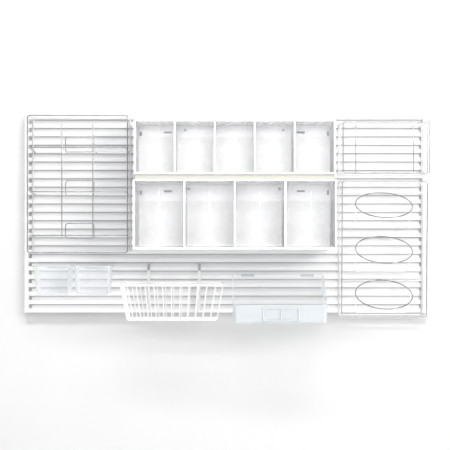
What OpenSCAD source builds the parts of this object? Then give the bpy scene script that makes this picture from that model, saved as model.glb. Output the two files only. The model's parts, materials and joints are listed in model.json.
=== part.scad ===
// Slat wall panel with two tip-out bin units, three wire racks, a hung basket and clear hang-on bins.
// +X is right, +Y is towards the wall, +Z is up. The origin is the middle of the wall-screw holes,
// on the wall. Heights named h or ..._h are measured up from the panel's bottom edge.

/* [Panel] */
// Width over the side trims
panel_w = 1219; // [1210:1:1230]
// Slats, counted from the bottom
slat_count = 23; // [23:1:24]
// Height from one slat to the next
slat_pitch = 25.4; // [25:0.1:26]
// Height of a slat's upstanding lip
lip_h = 12.7; // [12:0.1:13]
// Room behind the lip for a hook
pocket_d = 6; // [6:0.1:12]
// Thickness of the sheet metal
sheet_t = 1.2; // [1:0.1:1.5]
// Depth of the battens that hold the panel off the wall
batten_d = 16; // [12:1:24]
// Width of a side trim
trim_w = 13; // [12:1:16]
// Height of the top cap
cap_h = 19.4; // [15:0.1:25]
// Distance between the columns of wall screws
hole_dx = 406.4; // [390:0.1:420]
// Radius of a wall-screw hole
hole_r = 3; // [2.5:0.1:4]

/* [Hooks] */
// Thickness of a hook
hook_t = 1.6; // [1:0.1:2]
// How far a hook reaches down behind the lip
hook_drop = 9.2; // [7:0.1:10]

/* [Tip-out bins] */
// Width of both units
unit_w = 587; // [580:1:595]
// Middle of both units, right of the panel's middle
unit_x = 26.5; // [20:0.5:33]
// Thickness of the dividers and end walls
divider_t = 5; // [4:0.5:6]
// Thickness of a bin's clear walls
bin_t = 2; // [1.5:0.1:2.5]
// Bottom of the upper unit
upper_h = 413; // [405:1:416]
// Height of the upper unit
upper_tall = 158; // [152:1:162]
// Depth of the upper unit
upper_deep = 133; // [125:1:140]
// Bottom of the lower unit
lower_h = 195; // [190:1:200]
// Height of the lower unit
lower_tall = 201.5; // [196:0.5:205]
// Depth of the lower unit
lower_deep = 168; // [160:1:175]

/* [Tier rack] */
// Width of the rack between its side wires
tier_w = 294; // [280:1:300]
// Height of the rack between its top and bottom wires
tier_tall = 403; // [395:1:408]
// Distance from the panel's face to the front wires
tier_deep = 100; // [80:1:120]
// Thickness of the frame wires
frame_wire_d = 3.4; // [3:0.1:4.5]
// Thickness of the lighter wires
light_wire_d = 2.6; // [2.4:0.1:3.2]

/* [Right racks] */
// Width of both racks between their side wires
side_rack_w = 250; // [240:1:252]
// Height of the shelf rack
shelf_tall = 148; // [140:1:152]
// Distance from the panel's face to the shelf rack's front
shelf_deep = 138; // [125:1:150]
// Height of the ring rack
ring_rack_tall = 400; // [390:1:402]
// Distance from the panel's face to the ring rack's front
ring_rack_deep = 100; // [92:1:110]
// Radius of a ring, to the middle of its wire
ring_r = 83.5; // [75:0.5:88]
// Lean of a ring, front edge down
ring_lean = 27; // [20:1:32]
// Height from one ring to the next
ring_pitch = 132; // [128:1:134]

/* [Bottom row] */
// Width of the basket over its rim
basket_w = 301; // [290:1:310]
// Depth of the basket over its rim
basket_deep = 150; // [140:1:170]
// Height of the basket
basket_tall = 101; // [95:1:104]
// Distance between the basket's wires
basket_pitch = 25.4; // [24:0.1:26]
// Width of the storage box
box_w = 274; // [260:1:280]
// Depth of the storage box
box_deep = 166; // [150:1:180]
// Height of the storage box's front wall
box_front_tall = 53; // [45:1:60]
// Depth of the small bins
small_deep = 95; // [85:1:105]

/* [Hidden] */
$fn = 32;
white = [0.95, 0.95, 0.94];
shade = [0.88, 0.88, 0.87];
clear = [0.82, 0.87, 0.95, 0.45];
frost = [0.88, 0.92, 0.96, 0.8];
steel = [0.72, 0.73, 0.75];
timber = [0.86, 0.76, 0.6];
eps = 0.1;

slat_h = slat_count * slat_pitch;
panel_h = slat_h + cap_h;
half_w = panel_w / 2;
sheet_half_w = half_w - trim_w - 9;
sheet_y = -batten_d - sheet_t;
face_y = sheet_y - pocket_d - sheet_t;
trim_y = face_y - 2;
hole_low_slat = 8;
hole_high_slat = 21;
hole_low_h = hole_low_slat * slat_pitch + 0.75 * slat_pitch;
hole_high_h = hole_high_slat * slat_pitch + 0.75 * slat_pitch;
mid_h = (hole_low_h + hole_high_h) / 2;
web_lean = 2.4;
batten_w = 40;
batten_end = 22;
rivet_r = 2;
rivet_fit = 0.1;
rivet_head_r = 3.6;
rivet_head_t = 1.4;

hang_gap = 0.2;
rack_hook_w = 6;
rack_hook_down = 12;
tongue_y = face_y + sheet_t + 0.4;
frame_y = face_y - hang_gap - hook_t - eps - frame_wire_d / 2;

housing_back_t = 3;
housing_top_t = 4;
housing_gap = 0.3;
housing_y = face_y - housing_gap;
upper_floor_t = 5;
lower_floor_t = 6;
skirt_in = 12;
skirt_t = 3;
skirt_gap = 2;
upper_bins = 5;
lower_bins = 4;
pivot_in = 6;
pivot_edge = 5.6;
trunnion_r = 2;
trunnion_fit = 0.05;
trunnion_len = 2.5;
bin_side_gap = 0.5;
bin_top_gap = 0.6;
upper_back_dz = 103;
lower_back_dz = 128;
upper_hook_slat = 21;
lower_hook_slat = 14;
end_hook_dx = 283;
wide_hook_dx = 201;
upper_lock_dx = 148.5;
lower_lock_dx = 137;
lock_up = 6;
lock_r = 2;
lock_head_r = 3.6;
lock_plate_w = 16;

tier_x = -435;
tier_low_h = 184;
tier_high_h = tier_low_h + tier_tall;
tier_front_y = face_y - tier_deep;
tier_rail_h = [234.7, 362.6, 493];
tier_back_slat = [9, 14, 19];
tier_upright_dx = 45.5;
tier_upright_top = 561;
tier_loop_dx = 42.4;
tier_loop_deep = 50;
tier_arm_in = 5.5;
tier_loop_up = 35;
tier_loop_down = 10;

side_rack_x = 467.5;
shelf_high_h = 564.5;
shelf_low_h = shelf_high_h - shelf_tall;
shelf_mid_deep = 98;
shelf_inner_deep = 53;
shelf_upright_dx = 85;
shelf_hook_slat = 22;

ring_rack_high_h = 393.5;
ring_rack_low_h = ring_rack_high_h - ring_rack_tall;
ring_low_h = 60.3;
ring_mid_y = frame_y - frame_wire_d - eps - ring_r * cos(ring_lean);
ring_foot_drop = 66;
ring_foot_y = face_y - 27;
ring_leg_dx = ring_r - frame_wire_d / 2 - light_wire_d / 2 - eps;
ring_tie_dx = 60;
ring_front_lean = 16;
ring_hook_slat = 15;
side_hook_inset = 4;

basket_x = -155.5;
basket_rim_h = 93;
basket_rim_d = 5;
basket_wire_d = 3;
basket_taper = 22;
basket_front_taper = 20;
basket_back_taper = 6;
basket_side_count = 5;
hanger_stand = 20;
basket_back_y = face_y - hanger_stand - 7.5;
hanger_dx = 3 * basket_pitch;
hanger_slot = 3.8;
hanger_w = 8;
hanger_t = 2;
hanger_rise = 11;
hanger_foot_h = 6;
hanger_slat = 5;

box_x = 157;
box_low_h = -18;
box_wall = 2.4;
box_hook_slat = 4;
box_hook_dx = 90;
box_hook_w = 40;
label_w = 106;
label_tall = 37;
label_h = 8;
label_rim = 3.5;
label_t = 1.8;

small_x = [-512.5, -394.5];
small_w = 112;
small_rim_h = 144.5;
small_low_h = 59;
small_taper = 5;
small_front_taper = 9;
small_wall = 2;
small_rim = 3;
small_hook_slat = 5;
small_hook_w = 60;

// ---- helpers ----

// Height of a slat's lip above the bottom edge
function lip_top(slat) = slat * slat_pitch + lip_h;

// Puts what is measured from the panel's bottom edge at its place above or below the origin
module on_wall() {
    translate([0, 0, -mid_h]) children();
}

// A block given by its lowest and highest corners
module block(low, high) {
    translate(low) cube(high - low);
}

// A straight round wire
module wire(from, to, d) {
    run = to - from;
    length = norm(run);
    translate(from)
        rotate([0, acos(run.z / length), atan2(run.y, run.x)])
            cylinder(h = length, d = d);
}

// A rectangle of four wires parallel to the wall, its back leaning if low_y isn't high_y
module wire_frame(left, right, low, high, low_y, high_y, d) {
    end = d / 2 + eps;
    wire([left - d / 2, high_y, high], [right + d / 2, high_y, high], d);
    wire([left - d / 2, low_y, low], [right + d / 2, low_y, low], d);
    for (x = [left, right])
        wire([x, low_y, low + end], [x, high_y, high - end], d);
}

// Turns an outline in Y and Z into a solid along X
module along_x(length) {
    rotate([90, 0, 90]) linear_extrude(length) children();
}

// A strap that hooks over a slat's lip, its front plate lying against plate_y
module strap_hook(x, slat, plate_y, width, plate_down) {
    top = lip_top(slat) + hang_gap;
    left = x - width / 2;
    right = x + width / 2;
    block([left, plate_y - hook_t, top - plate_down], [right, plate_y, top + hook_t]);
    block([left, plate_y - hook_t, top], [right, tongue_y + hook_t, top + hook_t]);
    block([left, tongue_y, lip_top(slat) - hook_drop], [right, tongue_y + hook_t, top + hook_t]);
}

// ---- panel ----

module wall_holes(from_y, to_y) {
    for (x = [-hole_dx / 2, hole_dx / 2], h = [hole_low_h, hole_high_h])
        translate([x, to_y, h]) rotate([90, 0, 0]) cylinder(h = to_y - from_y, r = hole_r);
}

function rivet_heights() = [for (step = [0:3]) 60 + step * 6 * slat_pitch];

module rivet_holes() {
    for (x = [-hole_dx / 2, hole_dx / 2], h = rivet_heights())
        translate([x, eps, h]) rotate([90, 0, 0])
            cylinder(h = batten_d + sheet_t + 2 * eps, r = rivet_r + rivet_fit);
}

module back_sheet() {
    color(shade) on_wall() difference() {
        block([-sheet_half_w, sheet_y, 0], [sheet_half_w, sheet_y + sheet_t, panel_h]);
        wall_holes(sheet_y - eps, eps);
        rivet_holes();
    }
}

module slat_faces() {
    color(white) on_wall() for (slat = [0:slat_count - 1])
        block([5 - half_w, face_y, slat * slat_pitch], [half_w - 5, face_y + sheet_t, lip_top(slat)]);
}

module slat_shelves() {
    color(white) on_wall() for (slat = [0:slat_count - 1])
        block([-sheet_half_w, face_y + sheet_t, slat * slat_pitch],
              [sheet_half_w, sheet_y, slat * slat_pitch + sheet_t]);
}

// The leaning back of each recess, from just behind the lip to under the slat above
module slat_webs() {
    low_y = sheet_y - web_lean - sheet_t;
    color(white) on_wall() difference() {
        for (slat = [0:slat_count - 1])
            translate([-sheet_half_w, 0, slat * slat_pitch]) along_x(2 * sheet_half_w) polygon([
                [low_y, lip_h - 0.5], [low_y + web_lean, slat_pitch],
                [low_y + web_lean + sheet_t, slat_pitch], [low_y + sheet_t, lip_h - 0.5]
            ]);
        wall_holes(face_y, eps);
    }
}

module top_cap() {
    color(white) on_wall() difference() {
        block([5 - half_w, face_y, slat_h], [half_w - 5, sheet_y, panel_h]);
        block([-half_w, face_y + sheet_t, slat_h + sheet_t], [half_w, sheet_y + eps, panel_h - sheet_t]);
    }
}

module side_trim() {
    depth = -1 - trim_y;
    difference() {
        block([half_w - trim_w, trim_y, 0], [half_w, -1, panel_h]);
        block([0, trim_y + sheet_t, -eps], [half_w - sheet_t, trim_y + depth - sheet_t, panel_h + eps]);
    }
}

module side_trim_right() {
    color(white) on_wall() side_trim();
}

module side_trim_left() {
    color(white) on_wall() mirror([1, 0, 0]) side_trim();
}

module wall_batten(side) {
    x = side * hole_dx / 2;
    difference() {
        block([x - batten_w / 2, -batten_d, batten_end], [x + batten_w / 2, 0, panel_h - batten_end]);
        wall_holes(-batten_d - eps, eps);
        rivet_holes();
        for (h = rivet_heights())
            translate([x, eps, h]) rotate([90, 0, 0])
                cylinder(h = rivet_head_t + 2 * eps, r = rivet_head_r + rivet_fit);
    }
}

module wall_batten_left() {
    color(timber) on_wall() wall_batten(-1);
}

module wall_batten_right() {
    color(timber) on_wall() wall_batten(1);
}

module batten_rivets() {
    color(steel) on_wall() for (x = [-hole_dx / 2, hole_dx / 2], h = rivet_heights())
        translate([x, 0, h]) rotate([90, 0, 0]) {
            translate([0, 0, rivet_fit])
                cylinder(h = rivet_head_t - rivet_fit, r = rivet_head_r);
            cylinder(h = batten_d + sheet_t, r = rivet_r);
            translate([0, 0, batten_d + sheet_t])
                cylinder(h = rivet_head_t, r = rivet_head_r);
        }
}

// ---- tip-out units ----

function cell_w(bins) = (unit_w - (bins + 1) * divider_t) / bins;
function cell_x(bins, i) = unit_x - unit_w / 2 + divider_t + i * (cell_w(bins) + divider_t);

module pivot_bores(h, deep, floor_t) {
    translate([unit_x - unit_w / 2 - eps, housing_y - deep + pivot_in, h + floor_t + pivot_in])
        rotate([0, 90, 0]) cylinder(h = unit_w + 2 * eps, r = trunnion_r + trunnion_fit);
}

// The slots and holes in a unit's back for its hooks and screws
module back_cutouts(slat, lock_dx) {
    top = lip_top(slat) + hang_gap;
    for (side = [-1, 1]) {
        for (hook = [[end_hook_dx, 8], [wide_hook_dx, 26]])
            block([unit_x + side * hook[0] - hook[1] / 2, housing_y - housing_back_t - eps, top - eps],
                  [unit_x + side * hook[0] + hook[1] / 2, housing_y + eps, top + hook_t + eps]);
        translate([unit_x + side * lock_dx, housing_y + eps, lip_top(slat) + lock_up])
            rotate([90, 0, 0]) cylinder(h = housing_back_t + 2 * eps, r = lock_r + 0.2);
    }
}

module housing(h, tall, deep, floor_t, slat, lock_dx) {
    left = unit_x - unit_w / 2;
    right = unit_x + unit_w / 2;
    inner_y = housing_y - housing_back_t;
    front_y = housing_y - deep;
    difference() {
        block([left, inner_y, h], [right, housing_y, h + tall]);
        back_cutouts(slat, lock_dx);
    }
    block([left, front_y, h], [right, inner_y, h + floor_t]);
    block([left, front_y, h + tall - housing_top_t], [right, inner_y, h + tall]);
    difference() {
        for (x = [left, right - divider_t])
            block([x, front_y, h + floor_t], [x + divider_t, inner_y, h + tall - housing_top_t]);
        pivot_bores(h, deep, floor_t);
    }
}

module dividers(bins, h, tall, deep, floor_t) {
    difference() {
        for (i = [1:bins - 1])
            block([cell_x(bins, i) - divider_t, housing_y - deep + 0.5, h + floor_t],
                  [cell_x(bins, i), housing_y - housing_back_t, h + tall - housing_top_t]);
        pivot_bores(h, deep, floor_t);
    }
}

// Side outline of a bin about its pivot: x is towards the wall, y is up, and the top is an arc
// about the pivot, so that the bin swings out under the housing's roof
module bin_outline(reach, back_low, back_top, back_dz) {
    slope = (back_low - back_top) / (back_dz + pivot_edge);
    top = reach + 5;
    intersection() {
        circle(r = reach, $fn = 96);
        polygon([
            [-pivot_edge, -1.5], [-1.5, -pivot_edge], [back_low, -pivot_edge],
            [back_low - slope * (top + pivot_edge), top], [-pivot_edge, top]
        ]);
    }
}

module bin_hollow(reach, back_low, back_top, back_dz) {
    slope = (back_low - back_top) / (back_dz + pivot_edge);
    top = reach + 5;
    low = bin_t - pivot_edge;
    polygon([
        [low, 0.5], [0.5, low], [back_low - bin_t, low],
        [back_low - bin_t - slope * (top - low), top], [low, top]
    ]);
}

module tip_bin(bins, i, h, tall, deep, floor_t, back_dz) {
    reach = tall - floor_t - housing_top_t - pivot_in - bin_top_gap;
    back_top = sqrt(reach * reach - back_dz * back_dz);
    back_low = deep - housing_back_t - pivot_in - 6;
    width = cell_w(bins) - 2 * bin_side_gap;
    translate([cell_x(bins, i) + bin_side_gap, housing_y - deep + pivot_in, h + floor_t + pivot_in]) {
        difference() {
            along_x(width) bin_outline(reach, back_low, back_top, back_dz);
            translate([bin_t, 0, 0])
                along_x(width - 2 * bin_t) bin_hollow(reach, back_low, back_top, back_dz);
        }
        for (x = [-trunnion_len, width])
            translate([x, 0, 0]) rotate([0, 90, 0]) cylinder(h = trunnion_len, r = trunnion_r);
    }
}

module upper_bin(i) {
    color(clear) on_wall()
        tip_bin(upper_bins, i, upper_h, upper_tall, upper_deep, upper_floor_t, upper_back_dz);
}

module lower_bin(i) {
    color(clear) on_wall()
        tip_bin(lower_bins, i, lower_h, lower_tall, lower_deep, lower_floor_t, lower_back_dz);
}

module upper_bin_1() { upper_bin(0); }
module upper_bin_2() { upper_bin(1); }
module upper_bin_3() { upper_bin(2); }
module upper_bin_4() { upper_bin(3); }
module upper_bin_5() { upper_bin(4); }
module lower_bin_1() { lower_bin(0); }
module lower_bin_2() { lower_bin(1); }
module lower_bin_3() { lower_bin(2); }
module lower_bin_4() { lower_bin(3); }

module upper_housing() {
    color(white) on_wall() {
        housing(upper_h, upper_tall, upper_deep, upper_floor_t, upper_hook_slat, upper_lock_dx);
        block([unit_x - unit_w / 2 + 2, housing_y - upper_deep + skirt_in, lower_h + lower_tall + skirt_gap],
              [unit_x + unit_w / 2 - 2, housing_y - upper_deep + skirt_in + skirt_t, upper_h]);
    }
}

module lower_housing() {
    color(white) on_wall()
        housing(lower_h, lower_tall, lower_deep, lower_floor_t, lower_hook_slat, lower_lock_dx);
}

module upper_dividers() {
    color(white) on_wall() dividers(upper_bins, upper_h, upper_tall, upper_deep, upper_floor_t);
}

module lower_dividers() {
    color(white) on_wall() dividers(lower_bins, lower_h, lower_tall, lower_deep, lower_floor_t);
}

module unit_hooks(slat) {
    color(steel) on_wall() for (side = [-1, 1]) {
        strap_hook(unit_x + side * end_hook_dx, slat, housing_y - housing_back_t, 6, 12);
        strap_hook(unit_x + side * wide_hook_dx, slat, housing_y - housing_back_t, 24, 4);
    }
}

module lock_screws(slat, lock_dx) {
    color(steel) on_wall() for (side = [-1, 1])
        translate([unit_x + side * lock_dx, housing_y - housing_back_t, lip_top(slat) + lock_up])
            rotate([-90, 0, 0]) {
                cylinder(h = 7.5, r = lock_r);
                translate([0, 0, -2.4]) cylinder(h = 2.4, r = lock_head_r);
            }
}

module lock_plates(slat, lock_dx) {
    color(steel) on_wall() for (side = [-1, 1])
        difference() {
            block([unit_x + side * lock_dx - lock_plate_w / 2, tongue_y, lip_top(slat) - hook_drop],
                  [unit_x + side * lock_dx + lock_plate_w / 2, tongue_y + 2, lip_top(slat) + 10]);
            translate([unit_x + side * lock_dx, tongue_y - eps, lip_top(slat) + lock_up])
                rotate([-90, 0, 0]) cylinder(h = 3, r = lock_r + trunnion_fit);
        }
}

module upper_hooks() { unit_hooks(upper_hook_slat); }
module upper_lock_screws() { lock_screws(upper_hook_slat, upper_lock_dx); }
module upper_lock_plates() { lock_plates(upper_hook_slat, upper_lock_dx); }
module lower_hooks() { unit_hooks(lower_hook_slat); }
module lower_lock_screws() { lock_screws(lower_hook_slat, lower_lock_dx); }
module lower_lock_plates() { lock_plates(lower_hook_slat, lower_lock_dx); }

// ---- tier rack ----

tier_left = tier_x - tier_w / 2;
tier_right = tier_x + tier_w / 2;
weld = frame_wire_d / 2 + eps;

module tier_front_frame() {
    color(steel) on_wall()
        wire_frame(tier_left, tier_right, tier_low_h, tier_high_h, tier_front_y, tier_front_y, frame_wire_d);
}

module tier_back_frame() {
    color(steel) on_wall() {
        wire_frame(tier_left, tier_right, tier_low_h, tier_high_h, frame_y, frame_y, frame_wire_d);
        for (slat = tier_back_slat)
            wire([tier_left + weld, frame_y, slat * slat_pitch],
                 [tier_right - weld, frame_y, slat * slat_pitch], light_wire_d);
    }
}

module tier_side_wires() {
    color(steel) on_wall() {
        for (x = [tier_left, tier_right], h = [tier_low_h, tier_high_h])
            wire([x, tier_front_y + weld, h], [x, frame_y - weld, h], light_wire_d);
        for (i = [0:2], side = [-1, 1])
            wire([tier_x + side * (tier_w / 2 - tier_arm_in), tier_front_y + weld, tier_rail_h[i]],
                 [tier_x + side * (tier_w / 2 - tier_arm_in), frame_y,
                  tier_back_slat[i] * slat_pitch + light_wire_d + eps], light_wire_d);
        for (i = [0:2], side = [-1, 1])
            wire([tier_x + side * tier_upright_dx, tier_front_y + weld, tier_rail_h[i] - 1],
                 [tier_x + side * tier_upright_dx, frame_y - weld, tier_back_slat[i] * slat_pitch],
                 light_wire_d);
    }
}

module tier_front_rails() {
    color(steel) on_wall() for (h = tier_rail_h)
        wire([tier_left + weld, tier_front_y, h], [tier_right - weld, tier_front_y, h], frame_wire_d);
}

module tier_uprights() {
    y = tier_front_y - weld - light_wire_d / 2;
    color(steel) on_wall() for (side = [-1, 1])
        wire([tier_x + side * tier_upright_dx, y, tier_rail_h[0] - weld],
             [tier_x + side * tier_upright_dx, y, tier_upright_top], light_wire_d);
}

module tier_loops() {
    y = face_y - tier_loop_deep;
    color(steel) on_wall() for (h = tier_rail_h)
        wire_frame(tier_x - tier_loop_dx, tier_x + tier_loop_dx, h - tier_loop_down, h + tier_loop_up,
                   y, y, light_wire_d);
}

module tier_hooks() {
    color(steel) on_wall() for (x = [tier_left, tier_right], slat = [22, 10])
        strap_hook(x, slat, face_y - hang_gap, rack_hook_w, rack_hook_down);
}

// ---- shelf rack ----

side_left = side_rack_x - side_rack_w / 2;
side_right = side_rack_x + side_rack_w / 2;

module shelf_back_frame() {
    color(steel) on_wall()
        wire_frame(side_left, side_right, shelf_low_h, shelf_high_h, frame_y, frame_y, frame_wire_d);
}

module shelf_front_frames() {
    color(steel) on_wall() for (deep = [shelf_mid_deep, shelf_deep])
        wire_frame(side_left, side_right, shelf_low_h, shelf_high_h, face_y - deep, face_y - deep,
                   light_wire_d);
}

module shelf_side_wires() {
    stops = [[frame_y, frame_wire_d], [face_y - shelf_mid_deep, light_wire_d],
             [face_y - shelf_deep, light_wire_d]];
    color(steel) on_wall() for (x = [side_left, side_right]) {
        for (h = [shelf_low_h, shelf_high_h], i = [0, 1])
            wire([x, stops[i + 1][0] + stops[i + 1][1] / 2 + eps, h],
                 [x, stops[i][0] - stops[i][1] / 2 - eps, h], light_wire_d);
        wire([x, face_y - shelf_inner_deep, shelf_low_h + light_wire_d / 2 + eps],
             [x, face_y - shelf_inner_deep, shelf_high_h - light_wire_d / 2 - eps], light_wire_d);
    }
}

module shelf_uprights() {
    end = light_wire_d / 2 + eps;
    color(steel) on_wall() for (side = [-1, 1])
        wire([side_rack_x + side * shelf_upright_dx, face_y - shelf_mid_deep, shelf_low_h + end],
             [side_rack_x + side * shelf_upright_dx, face_y - shelf_mid_deep, shelf_high_h - end],
             light_wire_d);
}

module shelf_hooks() {
    color(steel) on_wall() for (x = [side_left, side_right - side_hook_inset])
        strap_hook(x, shelf_hook_slat, face_y - hang_gap, rack_hook_w, rack_hook_down);
}

// ---- ring rack ----

function ring_h(i) = ring_low_h + i * ring_pitch;
function ring_back_h(i) = ring_h(i) + ring_r * sin(ring_lean);
function ring_foot_h(i) = ring_h(i) - ring_foot_drop;
ring_front_y = face_y - ring_rack_deep;

module ring_back_frame() {
    color(steel) on_wall() {
        wire_frame(side_left, side_right, ring_rack_low_h, ring_rack_high_h, frame_y, frame_y, frame_wire_d);
        for (i = [0:2])
            wire([side_left + weld, frame_y, ring_back_h(i)], [side_right - weld, frame_y, ring_back_h(i)],
                 frame_wire_d);
        for (i = [1:2])
            wire([side_left + weld, frame_y, ring_foot_h(i)], [side_right - weld, frame_y, ring_foot_h(i)],
                 light_wire_d);
    }
}

module ring_front_frame() {
    color(steel) on_wall()
        wire_frame(side_left, side_right, ring_rack_low_h, ring_rack_high_h,
                   ring_front_y + ring_front_lean, ring_front_y, frame_wire_d);
}

module ring_side_wires() {
    color(steel) on_wall() for (x = [side_left, side_right]) {
        wire([x, ring_front_y + weld, ring_rack_high_h], [x, frame_y - weld, ring_rack_high_h], light_wire_d);
        wire([x, ring_front_y + ring_front_lean + weld, ring_rack_low_h],
             [x, frame_y - weld, ring_rack_low_h], light_wire_d);
    }
}

module ring(i) {
    color(steel) on_wall() translate([side_rack_x, ring_mid_y, ring_h(i)]) rotate([ring_lean, 0, 0])
        rotate_extrude($fn = 96) translate([ring_r, 0]) circle(d = frame_wire_d);
}

module ring_bottom() { ring(0); }
module ring_middle() { ring(1); }
module ring_top() { ring(2); }

// A bent foot under each ring: two legs down from the ring's sides to a rail near the wall
module ring_feet() {
    end = light_wire_d / 2 + eps;
    color(steel) on_wall() for (i = [0:2]) {
        low = ring_foot_h(i) + (i == 0 ? 8 : 0);
        for (side = [-1, 1]) {
            x = side_rack_x + side * ring_leg_dx;
            wire([x, ring_foot_y - 2.5, low + 3], [x, ring_mid_y, ring_h(i)], light_wire_d);
            if (i > 0)
                wire([side_rack_x + side * ring_tie_dx, ring_foot_y + end, low],
                     [side_rack_x + side * ring_tie_dx, frame_y - end, low], light_wire_d);
        }
        wire([side_rack_x - ring_leg_dx - 1, ring_foot_y, low],
             [side_rack_x + ring_leg_dx + 1, ring_foot_y, low], light_wire_d);
    }
}

module ring_hooks() {
    color(steel) on_wall() for (x = [side_left, side_right - side_hook_inset], slat = [ring_hook_slat, 2])
        strap_hook(x, slat, face_y - hang_gap, rack_hook_w, rack_hook_down);
}

// ---- basket ----

basket_low_h = basket_rim_h - basket_tall;
basket_front_y = basket_back_y - basket_deep;
basket_half = basket_w / 2;
rim_weld = basket_rim_d / 2 + eps;
wire_weld = basket_wire_d / 2 + eps;
basket_low_half = basket_half - basket_taper;
basket_low_front = basket_front_y + basket_front_taper;
basket_low_back = basket_back_y - basket_back_taper;
basket_columns = [-5:5];

module basket_rim() {
    left = basket_x - basket_half;
    right = basket_x + basket_half;
    color(white) on_wall() {
        for (y = [basket_back_y, basket_front_y])
            wire([left, y, basket_rim_h], [right, y, basket_rim_h], basket_rim_d);
        for (x = [left + basket_rim_d / 2, right - basket_rim_d / 2])
            wire([x, basket_front_y + rim_weld, basket_rim_h], [x, basket_back_y - rim_weld, basket_rim_h],
                 basket_rim_d);
    }
}

// One upright of the basket's front or back, from its foot to the rim
module basket_upright(low_y, high_y) {
    for (column = basket_columns) {
        x = basket_x + column * basket_pitch;
        low_x = basket_x + column * basket_pitch * basket_low_half / (basket_half - 3);
        wire([low_x, low_y, basket_low_h + wire_weld], [x, high_y, basket_rim_h - rim_weld - 0.4],
             basket_wire_d);
    }
}

module basket_front_wires() {
    color(white) on_wall() basket_upright(basket_low_front, basket_front_y);
}

module basket_back_wires() {
    color(white) on_wall() basket_upright(basket_low_back, basket_back_y);
}

function basket_row_y(row, front, back) = back + (front - back) * (row + 0.5) / basket_side_count;

module basket_side_wires() {
    color(white) on_wall() for (side = [-1, 1], row = [0:basket_side_count - 1])
        wire([basket_x + side * basket_low_half, basket_row_y(row, basket_low_front, basket_low_back),
              basket_low_h + wire_weld],
             [basket_x + side * (basket_half - basket_rim_d / 2),
              basket_row_y(row, basket_front_y, basket_back_y), basket_rim_h - rim_weld - 0.6],
             basket_wire_d);
}

module basket_base_wires() {
    color(white) on_wall() {
        for (column = basket_columns) {
            x = basket_x + column * basket_pitch * basket_low_half / (basket_half - 3);
            wire([x, basket_low_front, basket_low_h], [x, basket_low_back, basket_low_h], basket_wire_d);
        }
        for (row = [0:basket_side_count - 1]) {
            y = basket_row_y(row, basket_low_front, basket_low_back);
            wire([basket_x - basket_low_half, y, basket_low_h - basket_wire_d - eps],
                 [basket_x + basket_low_half, y, basket_low_h - basket_wire_d - eps], basket_wire_d);
        }
    }
}

// A bent strap that hooks over a lip, stands off the slats down to a foot and carries the basket's rim
// in a small cradle
module hanger(side) {
    x = basket_x + side * hanger_dx;
    left = x - hanger_w / 2;
    right = x + hanger_w / 2;
    rest = lip_top(hanger_slat) + hang_gap;
    near_y = face_y - hang_gap;
    strap_y = near_y - hanger_stand;
    seat = basket_rim_h - basket_rim_d / 2 - eps;
    tip_y = basket_back_y - basket_rim_d / 2 - 0.4;
    translate([left, 0, 0]) along_x(hanger_w) polygon([
        [tongue_y, lip_top(hanger_slat) - hook_drop], [tongue_y, rest],
        [near_y - hanger_t, rest], [near_y - hanger_t, rest + hanger_rise - 3],
        [strap_y, rest - 14], [strap_y, hanger_foot_h + hanger_t],
        [near_y, hanger_foot_h + hanger_t], [near_y, hanger_foot_h],
        [strap_y - hanger_t, hanger_foot_h], [strap_y - hanger_t, rest - 13.4],
        [near_y - hanger_t, rest + hanger_rise], [near_y, rest + hanger_rise],
        [near_y, rest + hook_t], [tongue_y + hook_t, rest + hook_t],
        [tongue_y + hook_t, lip_top(hanger_slat) - hook_drop]
    ]);
    difference() {
        union() {
            block([left, tip_y - hanger_t, seat - hanger_t], [right, strap_y, seat]);
            block([left, tip_y - hanger_t, seat - hanger_t], [right, tip_y, seat + 6]);
        }
        block([x - hanger_slot / 2, tip_y + eps - hanger_t, seat - hanger_t - eps],
              [x + hanger_slot / 2, strap_y - hanger_t, seat + eps]);
    }
}

module hanger_left() {
    color(white) on_wall() hanger(-1);
}

module hanger_right() {
    color(white) on_wall() hanger(1);
}

// ---- storage box ----

box_back_y = face_y - hang_gap;
box_front_y = box_back_y - box_deep;
box_top_h = lip_top(box_hook_slat) + hang_gap + hook_t;

module box_outline(inset, rise) {
    polygon([
        [box_back_y - inset, box_low_h + inset], [box_back_y - inset, box_top_h + rise],
        [box_back_y - 45 + inset / 3, box_top_h + rise],
        [box_front_y + inset, box_low_h + box_front_tall + rise],
        [box_front_y + inset, box_low_h + inset]
    ]);
}

module storage_box() {
    color(frost) on_wall() {
        difference() {
            translate([box_x - box_w / 2, 0, 0]) along_x(box_w) box_outline(0, 0);
            translate([box_x - box_w / 2 + box_wall, 0, 0])
                along_x(box_w - 2 * box_wall) box_outline(box_wall, 60);
        }
        for (side = [-1, 1])
            strap_hook(box_x + side * box_hook_dx, box_hook_slat, box_back_y, box_hook_w, 6);
    }
}

module label_frame() {
    left = box_x + 3 - label_w / 2;
    right = left + label_w;
    low = label_h - label_tall / 2;
    high = low + label_tall;
    middle = (left + right) / 2;
    color(frost) on_wall() difference() {
        block([left, box_front_y - label_t, low], [right, box_front_y, high]);
        for (x = [[left + label_rim, middle - label_rim / 2], [middle + label_rim / 2, right - label_rim]])
            block([x[0], box_front_y - label_t - eps, low + label_rim],
                  [x[1], box_front_y + eps, high - label_rim]);
    }
}

// ---- small bins ----

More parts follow.
